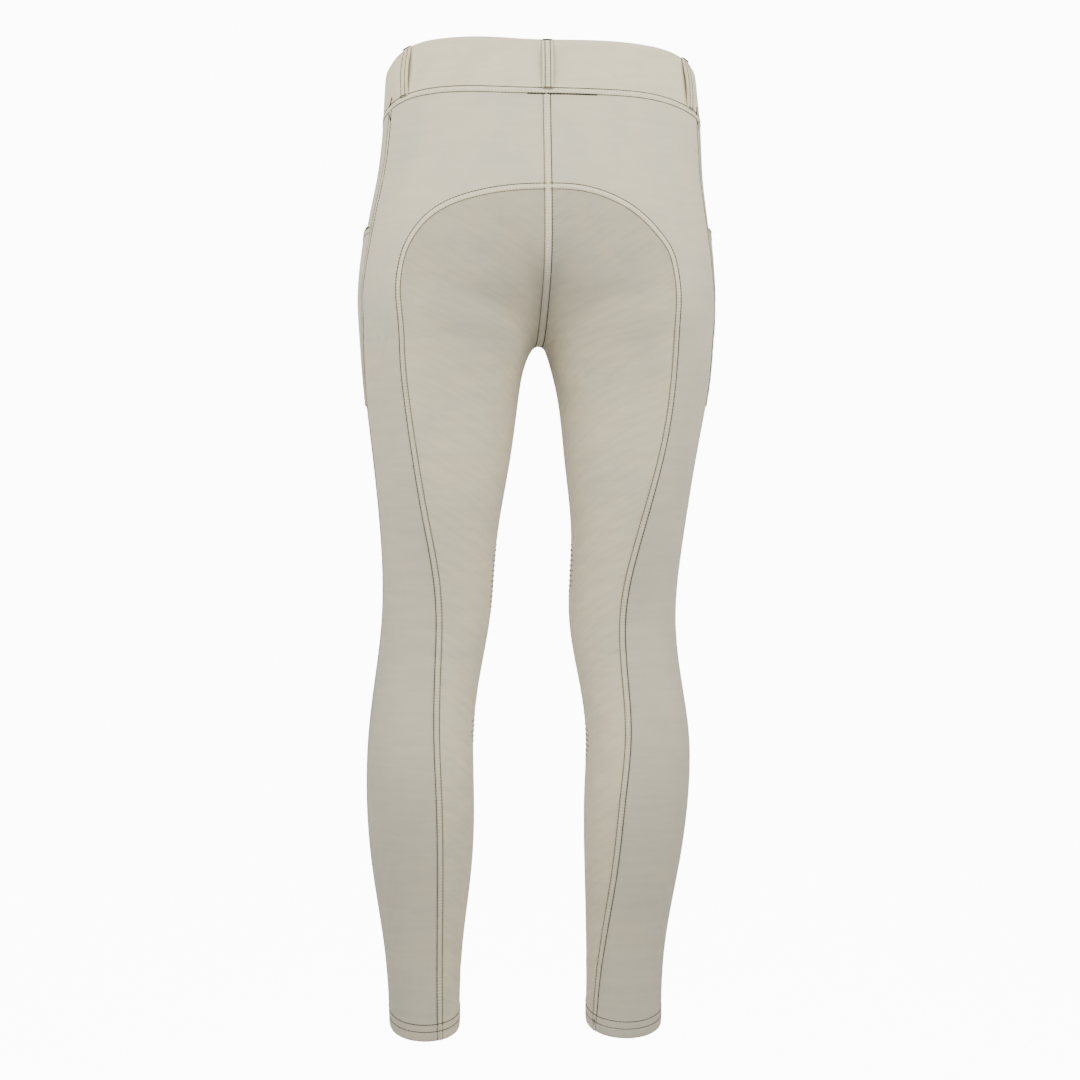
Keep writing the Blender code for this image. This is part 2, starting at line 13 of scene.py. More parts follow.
import bmesh
import bpy
import numpy as np
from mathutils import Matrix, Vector

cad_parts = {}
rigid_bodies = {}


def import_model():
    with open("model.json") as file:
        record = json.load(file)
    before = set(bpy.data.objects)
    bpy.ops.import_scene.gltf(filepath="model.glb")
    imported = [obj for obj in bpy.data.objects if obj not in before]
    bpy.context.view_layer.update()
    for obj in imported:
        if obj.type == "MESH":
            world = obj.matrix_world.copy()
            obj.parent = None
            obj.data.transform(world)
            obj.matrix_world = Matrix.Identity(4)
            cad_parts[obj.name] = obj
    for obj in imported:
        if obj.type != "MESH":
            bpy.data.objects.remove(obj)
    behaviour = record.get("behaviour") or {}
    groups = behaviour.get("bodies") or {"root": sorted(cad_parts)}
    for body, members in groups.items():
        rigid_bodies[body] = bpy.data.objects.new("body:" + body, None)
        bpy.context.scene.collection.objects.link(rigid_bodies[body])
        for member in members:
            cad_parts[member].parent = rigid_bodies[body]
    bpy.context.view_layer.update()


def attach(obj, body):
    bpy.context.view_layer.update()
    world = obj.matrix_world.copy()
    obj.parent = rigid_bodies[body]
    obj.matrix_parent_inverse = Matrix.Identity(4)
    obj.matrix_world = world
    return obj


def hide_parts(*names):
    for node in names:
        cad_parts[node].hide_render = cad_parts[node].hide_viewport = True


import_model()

# %% [markdown]
# ## The camera, the light and the floor
# The picture is taken from behind and a little to the wearer's left, level with the thighs,
# with a long lens. A long lens keeps both legs the same size, as a product photograph does.
# Soft lamps stand high behind both hips and beside them, each with a grid that keeps its light
# on the upper part, so the light fades down the legs and the hollow under the seat stays dim.
# Two weaker lamps stand in front for the other views. The ground glows white where it is seen.

# %% Camera and light
VIEW_TURN = 175.4          # degrees round from the wearer's front
VIEW_DISTANCE = 2.4
VIEW_MIDDLE = Vector((-0.0017, 0.0, -0.450))
FLOOR_HEIGHT = -1.10

toward = Vector((math.sin(math.radians(VIEW_TURN)), -math.cos(math.radians(VIEW_TURN)), 0.0))
camera_data = bpy.data.cameras.new("camera")
camera_data.lens = 80.0
camera_data.sensor_width = 36.0
camera = bpy.data.objects.new("camera", camera_data)
camera.location = VIEW_MIDDLE + toward * VIEW_DISTANCE
camera.rotation_euler = toward.to_track_quat("Z", "Y").to_euler()
bpy.context.scene.collection.objects.link(camera)
bpy.context.scene.camera = camera

# Each lamp's name, place, size, height that it is aimed at, spread in degrees and power
LAMPS = (
    ("lamp_back_left", (0.9, 1.2, 0.7), 1.0, -0.04, 92.0, 8.2),
    ("lamp_back_right", (-0.9, 1.2, 0.7), 1.0, -0.04, 92.0, 9.0),
    ("lamp_side_left", (1.5, 0.4, 0.3), 1.0, -0.08, 80.0, 4.4),
    ("lamp_side_right", (-1.5, 0.4, 0.3), 1.0, -0.08, 80.0, 3.8),
    ("lamp_front_left", (0.9, -1.3, 0.6), 1.0, -0.25, 105.0, 2.2),
    ("lamp_front_right", (-0.9, -1.3, 0.6), 1.0, -0.25, 105.0, 3.2),
)
LAMP_COLOUR = (1.0, 0.965, 0.785)


def soft_lamp(name, place, size, aim_height, spread_angle, power):
    """A soft square lamp with a grid, aimed at the middle of the garment at a height."""
    data = bpy.data.lights.new(name, "AREA")
    data.shape = "SQUARE"
    data.size = size
    data.spread = math.radians(spread_angle)
    data.energy = power
    data.color = LAMP_COLOUR
    lamp = bpy.data.objects.new(name, data)
    lamp.location = place
    aim = Vector((0.0, 0.0, aim_height))
    lamp.rotation_euler = (Vector(place) - aim).to_track_quat("Z", "Y").to_euler()
    bpy.context.scene.collection.objects.link(lamp)
    return lamp


for lamp_row in LAMPS:
    soft_lamp(*lamp_row)

GROUND_GLOW = 12.0         # how bright the white ground looks
DOME_LIGHT = 0.25          # how much light it gives


def seen_glow(tree):
    """The ground's glow where it is looked at, and the dome's light elsewhere."""
    path = tree.nodes.new("ShaderNodeLightPath")
    node = tree.nodes.new("ShaderNodeMapRange")
    node.inputs["To Min"].default_value = DOME_LIGHT
    node.inputs["To Max"].default_value = GROUND_GLOW
    tree.links.new(path.outputs["Is Camera Ray"], node.inputs["Value"])
    return node.outputs["Result"]


world = bpy.data.worlds.new("studio")
world.use_nodes = True
sky = world.node_tree.nodes["Background"]
sky.inputs["Color"].default_value = (1.0, 1.0, 1.0, 1.0)
world.node_tree.links.new(seen_glow(world.node_tree), sky.inputs["Strength"])
bpy.context.scene.world = world
print("camera at", [round(v, 3) for v in camera.location])

# %% Floor
FLOOR_RADIUS = 14.0
FLOOR_GREY = 0.60


def new_material(name):
    """A new material, its node tree and its shader."""
    material = bpy.data.materials.new(name)
    material.use_nodes = True
    return material, material.node_tree, material.node_tree.nodes["Principled BSDF"]


def set_inputs(node, **values):
    """Set a node's inputs, with a low line for each space in a name."""
    for name, value in values.items():
        node.inputs[name.replace("_", " ")].default_value = value


floor_mesh = bpy.data.meshes.new("floor")
floor_form = bmesh.new()
bmesh.ops.create_circle(floor_form, cap_ends=True, segments=64, radius=FLOOR_RADIUS)
bmesh.ops.translate(floor_form, verts=floor_form.verts, vec=(0.0, 0.0, FLOOR_HEIGHT))
floor_form.to_mesh(floor_mesh)
floor_form.free()
floor = bpy.data.objects.new("floor", floor_mesh)
bpy.context.scene.collection.objects.link(floor)
floor_paint, floor_tree, floor_shader = new_material("floor_paint")
set_inputs(floor_shader, Base_Color=(FLOOR_GREY, FLOOR_GREY, FLOOR_GREY, 1.0), Roughness=1.0,
           Specular_IOR_Level=0.0, Emission_Color=(1.0, 1.0, 1.0, 1.0))
floor_tree.links.new(seen_glow(floor_tree), floor_shader.inputs["Emission Strength"])
floor_mesh.materials.append(floor_paint)
floor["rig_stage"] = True
print("floor", FLOOR_HEIGHT)

# %% [markdown]
# ## The form of the worn garment
# Tights have no shape of their own: they take the wearer's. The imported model's pieces were all
# laid on one smooth surface, and the finer shells need that same surface. So its short tables
# are repeated here: level sections of both legs, the edges of the waistband, and the lines
# that the seams follow. A section is a rounded lobe for each leg, and the two lobes melt
# together above the crotch. All lengths are metres and all turns degrees; +Z is up, the wearer
# faces -Y and their left leg is at +X.

# %% Tables of the form
SECTION_COLUMNS = (
    "height", "outer_left", "inner_left", "outer_right", "inner_right", "front", "back")
SECTIONS = (
    (0.060, 0.150, -0.110, 0.154, -0.114, -0.092, 0.088),
    (0.020, 0.152, -0.112, 0.157, -0.117, -0.096, 0.093),
    (-0.035, 0.155, -0.115, 0.162, -0.120, -0.101, 0.101),
    (-0.090, 0.161, -0.117, 0.164, -0.121, -0.106, 0.112),
    (-0.130, 0.169, -0.112, 0.168, -0.114, -0.108, 0.119),
    (-0.170, 0.175, -0.082, 0.172, -0.082, -0.107, 0.122),
    (-0.210, 0.178, -0.026, 0.174, -0.026, -0.103, 0.119),
    (-0.240, 0.177, -0.003, 0.174, -0.003, -0.100, 0.111),
    (-0.258, 0.176, 0.006, 0.173, 0.006, -0.098, 0.104),
    (-0.275, 0.175, 0.013, 0.172, 0.012, -0.096, 0.098),
    (-0.310, 0.172, 0.020, 0.168, 0.020, -0.093, 0.088),
    (-0.370, 0.165, 0.028, 0.158, 0.027, -0.088, 0.077),
    (-0.450, 0.157, 0.041, 0.146, 0.034, -0.079, 0.062),
    (-0.530, 0.156, 0.048, 0.139, 0.032, -0.069, 0.049),
    (-0.590, 0.163, 0.059, 0.144, 0.041, -0.058, 0.052),
    (-0.640, 0.169, 0.065, 0.150, 0.047, -0.049, 0.061),
    (-0.700, 0.171, 0.065, 0.149, 0.045, -0.042, 0.068),
    (-0.770, 0.166, 0.067, 0.140, 0.045, -0.036, 0.063),
    (-0.850, 0.154, 0.076, 0.126, 0.047, -0.031, 0.052),
    (-0.910, 0.149, 0.079, 0.122, 0.047, -0.029, 0.049),
    (-0.960, 0.148, 0.079, 0.122, 0.046, -0.029, 0.048),
)
LOBE_BLEND = 0.020
TORSO_FULLNESS = 2.25
LEG_FULLNESS = 2.10
TORSO_FROM = -0.250
TORSO_TO = -0.130

WAIST_COLUMNS = ("share", "rim_left", "rim_right", "seam_left", "seam_right")
WAIST = (
    (0.00, -0.0040, -0.0040, -0.0530, -0.0530),
    (0.20, -0.0010, -0.0010, -0.0500, -0.0500),
    (0.38, 0.0045, 0.0050, -0.0440, -0.0440),
    (0.50, 0.0110, 0.0115, -0.0365, -0.0385),
    (0.56, 0.0180, 0.0165, -0.0315, -0.0355),
    (0.60, 0.0250, 0.0215, -0.0265, -0.0325),
    (0.65, 0.0315, 0.0270, -0.0220, -0.0280),
    (0.72, 0.0345, 0.0305, -0.0195, -0.0235),
    (0.82, 0.0345, 0.0320, -0.0200, -0.0220),
    (0.93, 0.0320, 0.0316, -0.0217, -0.0220),
    (1.00, 0.0312, 0.0312, -0.0220, -0.0220),
)
SIDE_SHARE = 0.58
SIDE_SEAM = (
    (0.060, 15.0),
    (-0.090, 16.0),
    (-0.200, 15.0),
    (-0.320, 11.0),
    (-0.450, 5.0),
    (-0.600, 1.0),
    (-0.800, 0.0),
    (-0.960, 0.0),
)
POCKET_LINE = (
    (0.060, 36.0),
    (-0.060, 43.0),
    (-0.142, 53.0),
    (-0.230, 58.0),
    (-0.320, 61.0),
    (-0.450, 64.0),
    (-0.700, 66.0),
    (-0.960, 66.0),
)
print(len(SECTIONS), "sections")

# %% Tables of the seat piece
APEX_HEIGHT = -0.1135
THIGH_HEIGHT = -0.262
SEAT_SEAM_COLUMNS = ("height", "turn_left", "turn_right")
SEAT_SEAM = (
    (APEX_HEIGHT, None, None),
    (-0.1145, 89.0, 87.0),
    (-0.1215, 67.5, 73.5),
    (-0.1380, 51.2, 61.0),
    (-0.1560, 45.8, 55.2),
    (-0.1740, 45.2, 53.4),
    (-0.1950, 49.2, 57.6),
    (-0.2250, 56.4, 64.4),
    (THIGH_HEIGHT, 61.4, 68.6),
    (-0.3100, 64.5, 70.6),
    (-0.3600, 68.3, 73.6),
    (-0.4200, 75.6, 82.4),
    (-0.4850, 85.7, 92.0),
    (-0.5450, 92.6, 97.3),
    (-0.6160, 101.6, 103.6),
    (-0.7000, 107.0, 110.2),
    (-0.7800, 109.0, 117.0),
    (-0.8500, 110.5, 130.0),
    (-0.9000, 110.7, 140.6),
    (-0.9370, 110.9, 145.0),
)
INNER_SEAM = (
    (-0.2557, 180.0),
    (-0.2750, 190.0),
    (-0.3200, 202.0),
    (-0.4000, 212.0),
    (-0.5200, 217.0),
    (-0.6400, 214.0),
    (-0.8000, 206.0),
    (-0.9600, 200.0),
)
HEM_LEVEL = -0.928
HEM_SLANT = 0.012
print(len(SEAT_SEAM), "points on the seat seam")

# %% [markdown]
# A smooth curve through a few measured values is what a tailor's bent spline gives. Here it is
# the natural cubic curve: it passes through each value and bends as little as it can, so a
# short table is enough for a smooth leg.

# %% Smooth curves
def column(table, place):
    """One column of a table."""
    return np.array([row[place] for row in table], dtype=float)


def smooth_curve(knots, values):
    """The natural cubic curve through the values."""
    order = np.argsort(knots)
    knots = np.asarray(knots, dtype=float)[order]
    values = np.asarray(values, dtype=float)[order]
    count = len(knots)
    steps = np.diff(knots)
    slopes = np.diff(values) / steps
    system = np.eye(count)
    known = np.zeros(count)
    for i in range(1, count - 1):
        system[i, i - 1:i + 2] = steps[i - 1], 2.0 * (steps[i - 1] + steps[i]), steps[i]
        known[i] = 6.0 * (slopes[i] - slopes[i - 1])
    bends = np.linalg.solve(system, known)

    def read(where):
        where = np.clip(where, knots[0], knots[-1])
        i = np.clip(np.searchsorted(knots, where) - 1, 0, count - 2)
        back = (knots[i + 1] - where) / steps[i]
        ahead = 1.0 - back
        bend = (back**3 - back) * bends[i] + (ahead**3 - ahead) * bends[i + 1]
        return back * values[i] + ahead * values[i + 1] + bend * steps[i]**2 / 6.0

    return read


def table_curves(table, names):
    """A smooth curve of every later column over the first, by name."""
    return {name: smooth_curve(column(table, 0), column(table, place))
            for place, name in enumerate(names) if place}


SECTION = table_curves(SECTIONS, SECTION_COLUMNS)
WAISTLINE = table_curves(WAIST, WAIST_COLUMNS)
SIDE_TURN = smooth_curve(column(SIDE_SEAM, 0), column(SIDE_SEAM, 1))
POCKET_TURN = smooth_curve(column(POCKET_LINE, 0), column(POCKET_LINE, 1))
print("back of the seat at", round(float(SECTION["back"](-0.17)), 4))

# %% [markdown]
# A place on the cloth is named by its half, its share of the way round that half, and its
# height. To find the point, a ray goes out from the middle of the leg and its length is halved
# again and again until it ends on the surface. That is slow for one point and quick for an
# array of thousands, so every function takes arrays.

# %% The surface
HALVINGS = 30
FARTHEST = 0.3             # no point of a leg is farther from its middle
SLOPE_STEP = 0.0008        # the step over which the surface's slope is read


def side_name(side):
    """The word for a half of the garment: 1 is the wearer's left."""
    return "left" if side > 0 else "right"


def unit(vectors):
    """Directions brought to a length of 1."""
    return vectors / np.linalg.norm(vectors, axis=-1, keepdims=True)


def cut_at(height):
    """Middle, half width, half depth and fullness of both lobes at each height."""
    front = SECTION["front"](height)
    back = SECTION["back"](height)
    share = np.clip((height - TORSO_FROM) / (TORSO_TO - TORSO_FROM), 0.0, 1.0)
    power = LEG_FULLNESS + (TORSO_FULLNESS - LEG_FULLNESS) * share
    cut = {"depth": (front + back) / 2.0, "half_depth": (back - front) / 2.0, "power": power}
    for side in (1, -1):
        outer = SECTION["outer_" + side_name(side)](height)
        inner = SECTION["inner_" + side_name(side)](height)
        cut[side] = (side * (outer + inner) / 2.0, (outer - inner) / 2.0)
    return cut


def outside(cut, x, y):
    """How far a point lies outside both lobes, which melt into each other."""
    deep = np.abs((y - cut["depth"]) / cut["half_depth"])**cut["power"]
    off = []
    for side in (1, -1):
        middle, half = cut[side]
        wide = np.abs((x - middle) / half)**cut["power"]
        off.append(((wide + deep)**(1.0 / cut["power"]) - 1.0) * half)
    near = np.clip(1.0 - np.abs(off[0] - off[1]) / LOBE_BLEND, 0.0, None)
    return np.minimum(off[0], off[1]) - near**2 * LOBE_BLEND / 4.0


def reach(cut, x, y, step_x, step_y):
    """The distance from an inner point to the surface, without crossing the centre plane."""
    inward = x * step_x < -1e-9
    limit = np.where(inward, -x / np.where(inward, step_x, 1.0), 1.0)
    near = np.zeros_like(limit)
    far = np.minimum(limit, FARTHEST)
    for _ in range(HALVINGS):
        middle = (near + far) / 2.0
        beyond = outside(cut, x + step_x * middle, y + step_y * middle) > 0.0
        far = np.where(beyond, middle, far)
        near = np.where(beyond, near, middle)
    return (near + far) / 2.0


def end_turns(side, height):
    """The turns of the front and back ends of a half section, 180 degrees on a closed leg."""
    height = np.asarray(height, float)
    cut = cut_at(height)
    middle = np.abs(cut[side][0])
    zero = np.zeros_like(height)
    joined = outside(cut, zero, cut["depth"]) < 0.0
    turns = []
    for way in (-1.0, 1.0):
        far = reach(cut, zero, cut["depth"], zero, zero + way)
        turns.append(np.where(joined, np.arctan2(far, -middle), math.pi))
    return turns


def surface(side, share, height):
    """Points of the garment's outer surface."""
    share, height = np.broadcast_arrays(np.asarray(share, float), np.asarray(height, float))
    cut = cut_at(height)
    middle_x = cut[side][0]
    front_turn, back_turn = end_turns(side, height)
    turn = np.where(share < 0.5, -front_turn, back_turn) * np.abs(2.0 * share - 1.0)
    step_x = side * np.cos(turn)
    step_y = np.sin(turn)
    distance = reach(cut, middle_x, cut["depth"], step_x, step_y)
    x = middle_x + step_x * distance
    y = cut["depth"] + step_y * distance
    return np.stack([x, y, height], axis=-1)


def outward(side, share, height):
    """Unit normals of the surface, away from the wearer."""
    share, height = np.broadcast_arrays(np.asarray(share, float), np.asarray(height, float))
    low = np.maximum(share - SLOPE_STEP, 0.0)
    high = np.where(share <= 1.0, np.minimum(share + SLOPE_STEP, 1.0), share + SLOPE_STEP)
    around = surface(side, high, height) - surface(side, low, height)
    along = surface(side, share, height + SLOPE_STEP) - surface(side, share, height - SLOPE_STEP)
    normal = np.cross(around, along) * side
    normal[..., 0] = np.where((share <= 0.0) | (share == 1.0), 0.0, normal[..., 0])
    return unit(normal)


def share_of_turn(side, turn, height):
    """The share of the way round for a turn behind the outer side."""
    return 0.5 + np.radians(turn) / (2.0 * end_turns(side, height)[1])


def turn_of(share):
    """The turn, in degrees, of a share of a closed leg."""
    return 360.0 * (share - 0.5)


print("hip at", surface(1, 0.5, -0.2).round(4))

# %% [markdown]
# ## The seam lines
# A maker draws the seams first, and every panel is what lies between two of them. Each line is
# a run of shares and heights from the waist to the hem. All lines have the same number of rows,
# so a panel is simply ruled from one to the other. The rows here are eight times as fine as in
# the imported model, and fall on the same lines.

# %% Rows
FINE = 8
YOKE_ROWS = 5 * FINE
ARCH_ROWS = 11 * FINE
LEG_ROWS = 26 * FINE
POCKET_START = 4 * FINE
POCKET_LEG_ROWS = 2 * FINE
HEM_EASE_ROWS = 6 * FINE
YOKE_SIDE = -0.080
POCKET_TOP = -0.142
POCKET_BOTTOM = -0.316
POCKET_SLOPE = 0.15
CROTCH_BETWEEN = (-0.30, -0.20)
CENTRE_STEPS = 400


def crotch_height():
    """The height where the two legs part."""
    low, high = CROTCH_BETWEEN
    for _ in range(HALVINGS):
        middle = np.array([(low + high) / 2.0])
        cut = cut_at(middle)
        if outside(cut, np.zeros(1), cut["depth"])[0] < 0.0:
            high = middle[0]
        else:
            low = middle[0]
    return high


CROTCH = crotch_height()


def hem_height(turn):
    """The hem is lowest at the back of the leg."""
    return HEM_LEVEL - HEM_SLANT * np.sin(np.radians(turn))


def travelled(points):
    """How far along a run of points each one lies."""
    return np.concatenate([[0.0], np.cumsum(np.linalg.norm(np.diff(points, axis=0), axis=1))])


def centre_run(share, top, rows):
    """Down the centre front or back to the crotch, evenly along the seam."""
    fine = np.linspace(0.0, 1.0, CENTRE_STEPS)
    heights = CROTCH + (top - CROTCH) * (1.0 - fine)**2
    far = travelled(surface(1, np.full_like(fine, share), heights))
    heights = np.interp(np.linspace(0.0, far[-1], rows + 1), far, heights)
    return np.full(rows + 1, share), heights


def side_run(side):
    """The side seam: waist, yoke, pocket, crotch level, hem."""
    edge = WAISTLINE["seam_" + side_name(side)]
    marks = (
        (0, edge(SIDE_SHARE)),
        (YOKE_ROWS, YOKE_SIDE),
        (YOKE_ROWS + POCKET_START, POCKET_TOP),
        (YOKE_ROWS + ARCH_ROWS, THIGH_HEIGHT),
        (YOKE_ROWS + ARCH_ROWS + POCKET_LEG_ROWS, POCKET_BOTTOM),
        (YOKE_ROWS + ARCH_ROWS + LEG_ROWS, hem_height(0.0)),
    )
    rows = np.arange(marks[-1][0] + 1)
    heights = np.interp(rows, [mark[0] for mark in marks], [mark[1] for mark in marks])
    shares = share_of_turn(side, SIDE_TURN(heights), heights)
    heights[0] = edge(shares[0])
    return shares, heights


def seat_run(side):
    """The full seat's outer seam, round its arch and down the leg."""
    heights = column(SEAT_SEAM, 0)
    turns = column(SEAT_SEAM, SEAT_SEAM_COLUMNS.index("turn_" + side_name(side)))
    turns[0] = np.degrees(end_turns(side, heights[:1])[1])[0]
    heights[-1] = hem_height(turns[-1])
    far = travelled(surface(side, share_of_turn(side, turns, heights), heights))
    level = far[[row[0] for row in SEAT_SEAM].index(THIGH_HEIGHT)]
    arch = np.linspace(0.0, level, ARCH_ROWS + 1)
    leg = np.linspace(level, far[-1], LEG_ROWS + 1)
    where = np.concatenate([arch, leg[1:]])
    heights = smooth_curve(far, heights)(where)
    turns = smooth_curve(far, turns)(where)
    shares = share_of_turn(side, turns, heights)
    shares[0] = 1.0
    return shares, heights


def inner_run():
    """The full seat's inner seam, the same on both legs, from the crotch to the hem."""
    knots = column(INNER_SEAM, 0)
    knots[0] = CROTCH
    turn_at = smooth_curve(knots, column(INNER_SEAM, 1))
    bottom = hem_height(turn_at(hem_height(180.0)))
    upper = np.linspace(CROTCH, POCKET_BOTTOM, POCKET_LEG_ROWS + 1)
    lower = np.linspace(POCKET_BOTTOM, bottom, LEG_ROWS - POCKET_LEG_ROWS + 1)
    heights = np.concatenate([upper, lower[1:]])
    shares = 0.5 + turn_at(heights) / 360.0
    shares[0] = 1.0
    return shares, heights


def join_runs(first, last):
    """Two runs, one after the other, without the shared point."""
    return tuple(np.concatenate([one, two[1:]]) for one, two in zip(first, last))


def centre_front_run():
    """The centre front seam, from the waist to the crotch."""
    return centre_run(0.0, WAISTLINE["seam_left"](0.0), YOKE_ROWS + ARCH_ROWS)


def front_edge_run():
    """The centre front and then the inner seam, as the front panel's far edge."""
    shares, heights = inner_run()
    return join_runs(centre_front_run(), (shares - 1.0, heights))


def yoke_run():
    """The centre back from the waist to the seat's apex."""
    heights = np.linspace(WAISTLINE["seam_left"](1.0), APEX_HEIGHT, YOKE_ROWS + 1)
    return np.ones(YOKE_ROWS + 1), heights


def back_edge_run(side):
    """The centre back above the seat piece and then the seat's outer seam."""
    return join_runs(yoke_run(), seat_run(side))


def cleft_run():
    """The centre back from the seat's apex to the crotch."""
    return centre_run(1.0, APEX_HEIGHT, ARCH_ROWS)


def seat_edge_run():
    """The centre back below the seat's apex and then the inner seam."""
    return join_runs(cleft_run(), inner_run())


def pocket_run(side, outer, inner):
    """The line of the pocket's front edge, from the waist to the hem."""
    heights = outer[1] * (1.0 - POCKET_SLOPE) + inner[1] * POCKET_SLOPE
    front_turn = end_turns(side, heights)[0]
    return 0.5 - np.radians(POCKET_TURN(heights)) / (2.0 * front_turn), heights


print("crotch at", round(float(CROTCH), 4))

# %% [markdown]
# ## Laying a panel out
# A panel is a grid of points. Its columns stand close together near the seams, where the cloth
# dips under the stitching, and wider apart in the middle. So the columns are placed by their
# real distance from each seam, measured over the surface along every row.

# %% Panels as grids
EDGE_STEPS = (0.00015, 0.0010, 0.0019, 0.0026, 0.0032, 0.0040, 0.0052, 0.0068, 0.0090)
EDGE_SHARE = 0.32          # of a narrow row's width, at most, for the close columns of one edge
PROBES = 33


def column_places(width, columns):
    """Distances of the columns from the first seam, for each row of a given width."""
    edge = np.array(EDGE_STEPS)
    middle = columns + 1 - 2 * len(edge)
    squeeze = np.minimum(1.0, EDGE_SHARE * width / edge[-1])[:, None]
    left = edge * squeeze
    right = width[:, None] - left[:, ::-1]
    mix = (np.arange(middle) + 1.0) / (middle + 1.0)
    between = left[:, -1:] * (1.0 - mix) + right[:, :1] * mix
    return np.concatenate([left, between, right], axis=1)


def lay_panel(side, lines, columns):
    """A panel's grid between seam lines: shares, heights and distances from the first seam."""
    mix = np.linspace(0.0, len(lines) - 1.0, PROBES * (len(lines) - 1) + 1)
    probe = [np.stack([np.interp(mix, np.arange(len(lines)), [line[k][row] for line in lines])
                       for row in range(len(lines[0][0]))]) for k in (0, 1)]
    points = surface(side, probe[0], probe[1])
    steps = np.linalg.norm(np.diff(points, axis=1), axis=2)
    far = np.concatenate([np.zeros((len(steps), 1)), np.cumsum(steps, axis=1)], axis=1)
    across = column_places(far[:, -1], columns)
    shares = np.empty_like(across)
    heights = np.empty_like(across)
    for row in range(len(across)):
        shares[row] = np.interp(across[row], far[row], probe[0][row])
        heights[row] = np.interp(across[row], far[row], probe[1][row])
    return {"side": side, "shares": shares, "heights": heights, "across": across,
            "width": far[:, -1:] + np.zeros_like(across)}


def ease(grid, hem=True, waist=True):
    """Bring a panel's last row to the slanting hem and its first row to the waist seam."""
    heights = grid["heights"]
    shares = grid["shares"]
    if hem:
        off = hem_height(turn_of(shares[-1])) - heights[-1]
        heights[-HEM_EASE_ROWS - 1:] += off * np.linspace(0.0, 1.0, HEM_EASE_ROWS + 1)[:, None]
    if waist:
        rows = YOKE_ROWS + POCKET_START
        off = WAISTLINE["seam_" + side_name(grid["side"])](shares[0]) - heights[0]
        heights[:rows + 1] += off * np.linspace(1.0, 0.0, rows + 1)[:, None]


def settle(grid):
    """Put a grid of shares and heights on the surface."""
    grid["points"] = surface(grid["side"], grid["shares"], grid["heights"])
    grid["normals"] = outward(grid["side"], grid["shares"], grid["heights"])
    steps = np.linalg.norm(np.diff(grid["points"], axis=0), axis=2)
    grid["along"] = np.concatenate([np.zeros((1, steps.shape[1])), np.cumsum(steps, axis=0)])
    grid["turn"] = turn_of(grid["shares"])
    return grid


FRONT_COLUMNS = 52
OUTER_COLUMNS = 56
SEAT_COLUMNS = 50
PANELS = {}
for side in (1, -1):
    outer = side_run(side)
    far_edge = front_edge_run()
    front = lay_panel(side, (outer, pocket_run(side, outer, far_edge), far_edge), FRONT_COLUMNS)
    back = lay_panel(side, (outer, back_edge_run(side)), OUTER_COLUMNS)
    seat = lay_panel(side, (seat_run(side), seat_edge_run()), SEAT_COLUMNS)
    ease(front)
    ease(back)
    ease(seat, waist=False)
    for title, grid in (("front_", front), ("outer_back_", back), ("seat_", seat)):
        PANELS[title + side_name(side)] = settle(grid)
for title, grid in PANELS.items():
    print(title, grid["points"].shape, "widest", round(float(grid["width"].max()), 3))

# %% [markdown]
# ## Creases
# Stretch cloth on a leg lies almost smooth. What shows is soft: a few long pulls that run down
# the outer thighs, a shallow hollow under the seat, short pulls that spread from the crotch,
# faint ripples behind the knees, and a little slack above the hems. Each is one row of a table,
# a bowed line in turns and heights with its own width and depth. The cloth is pushed in or
# out along it with a soft bell shape, so no crease looks like another.

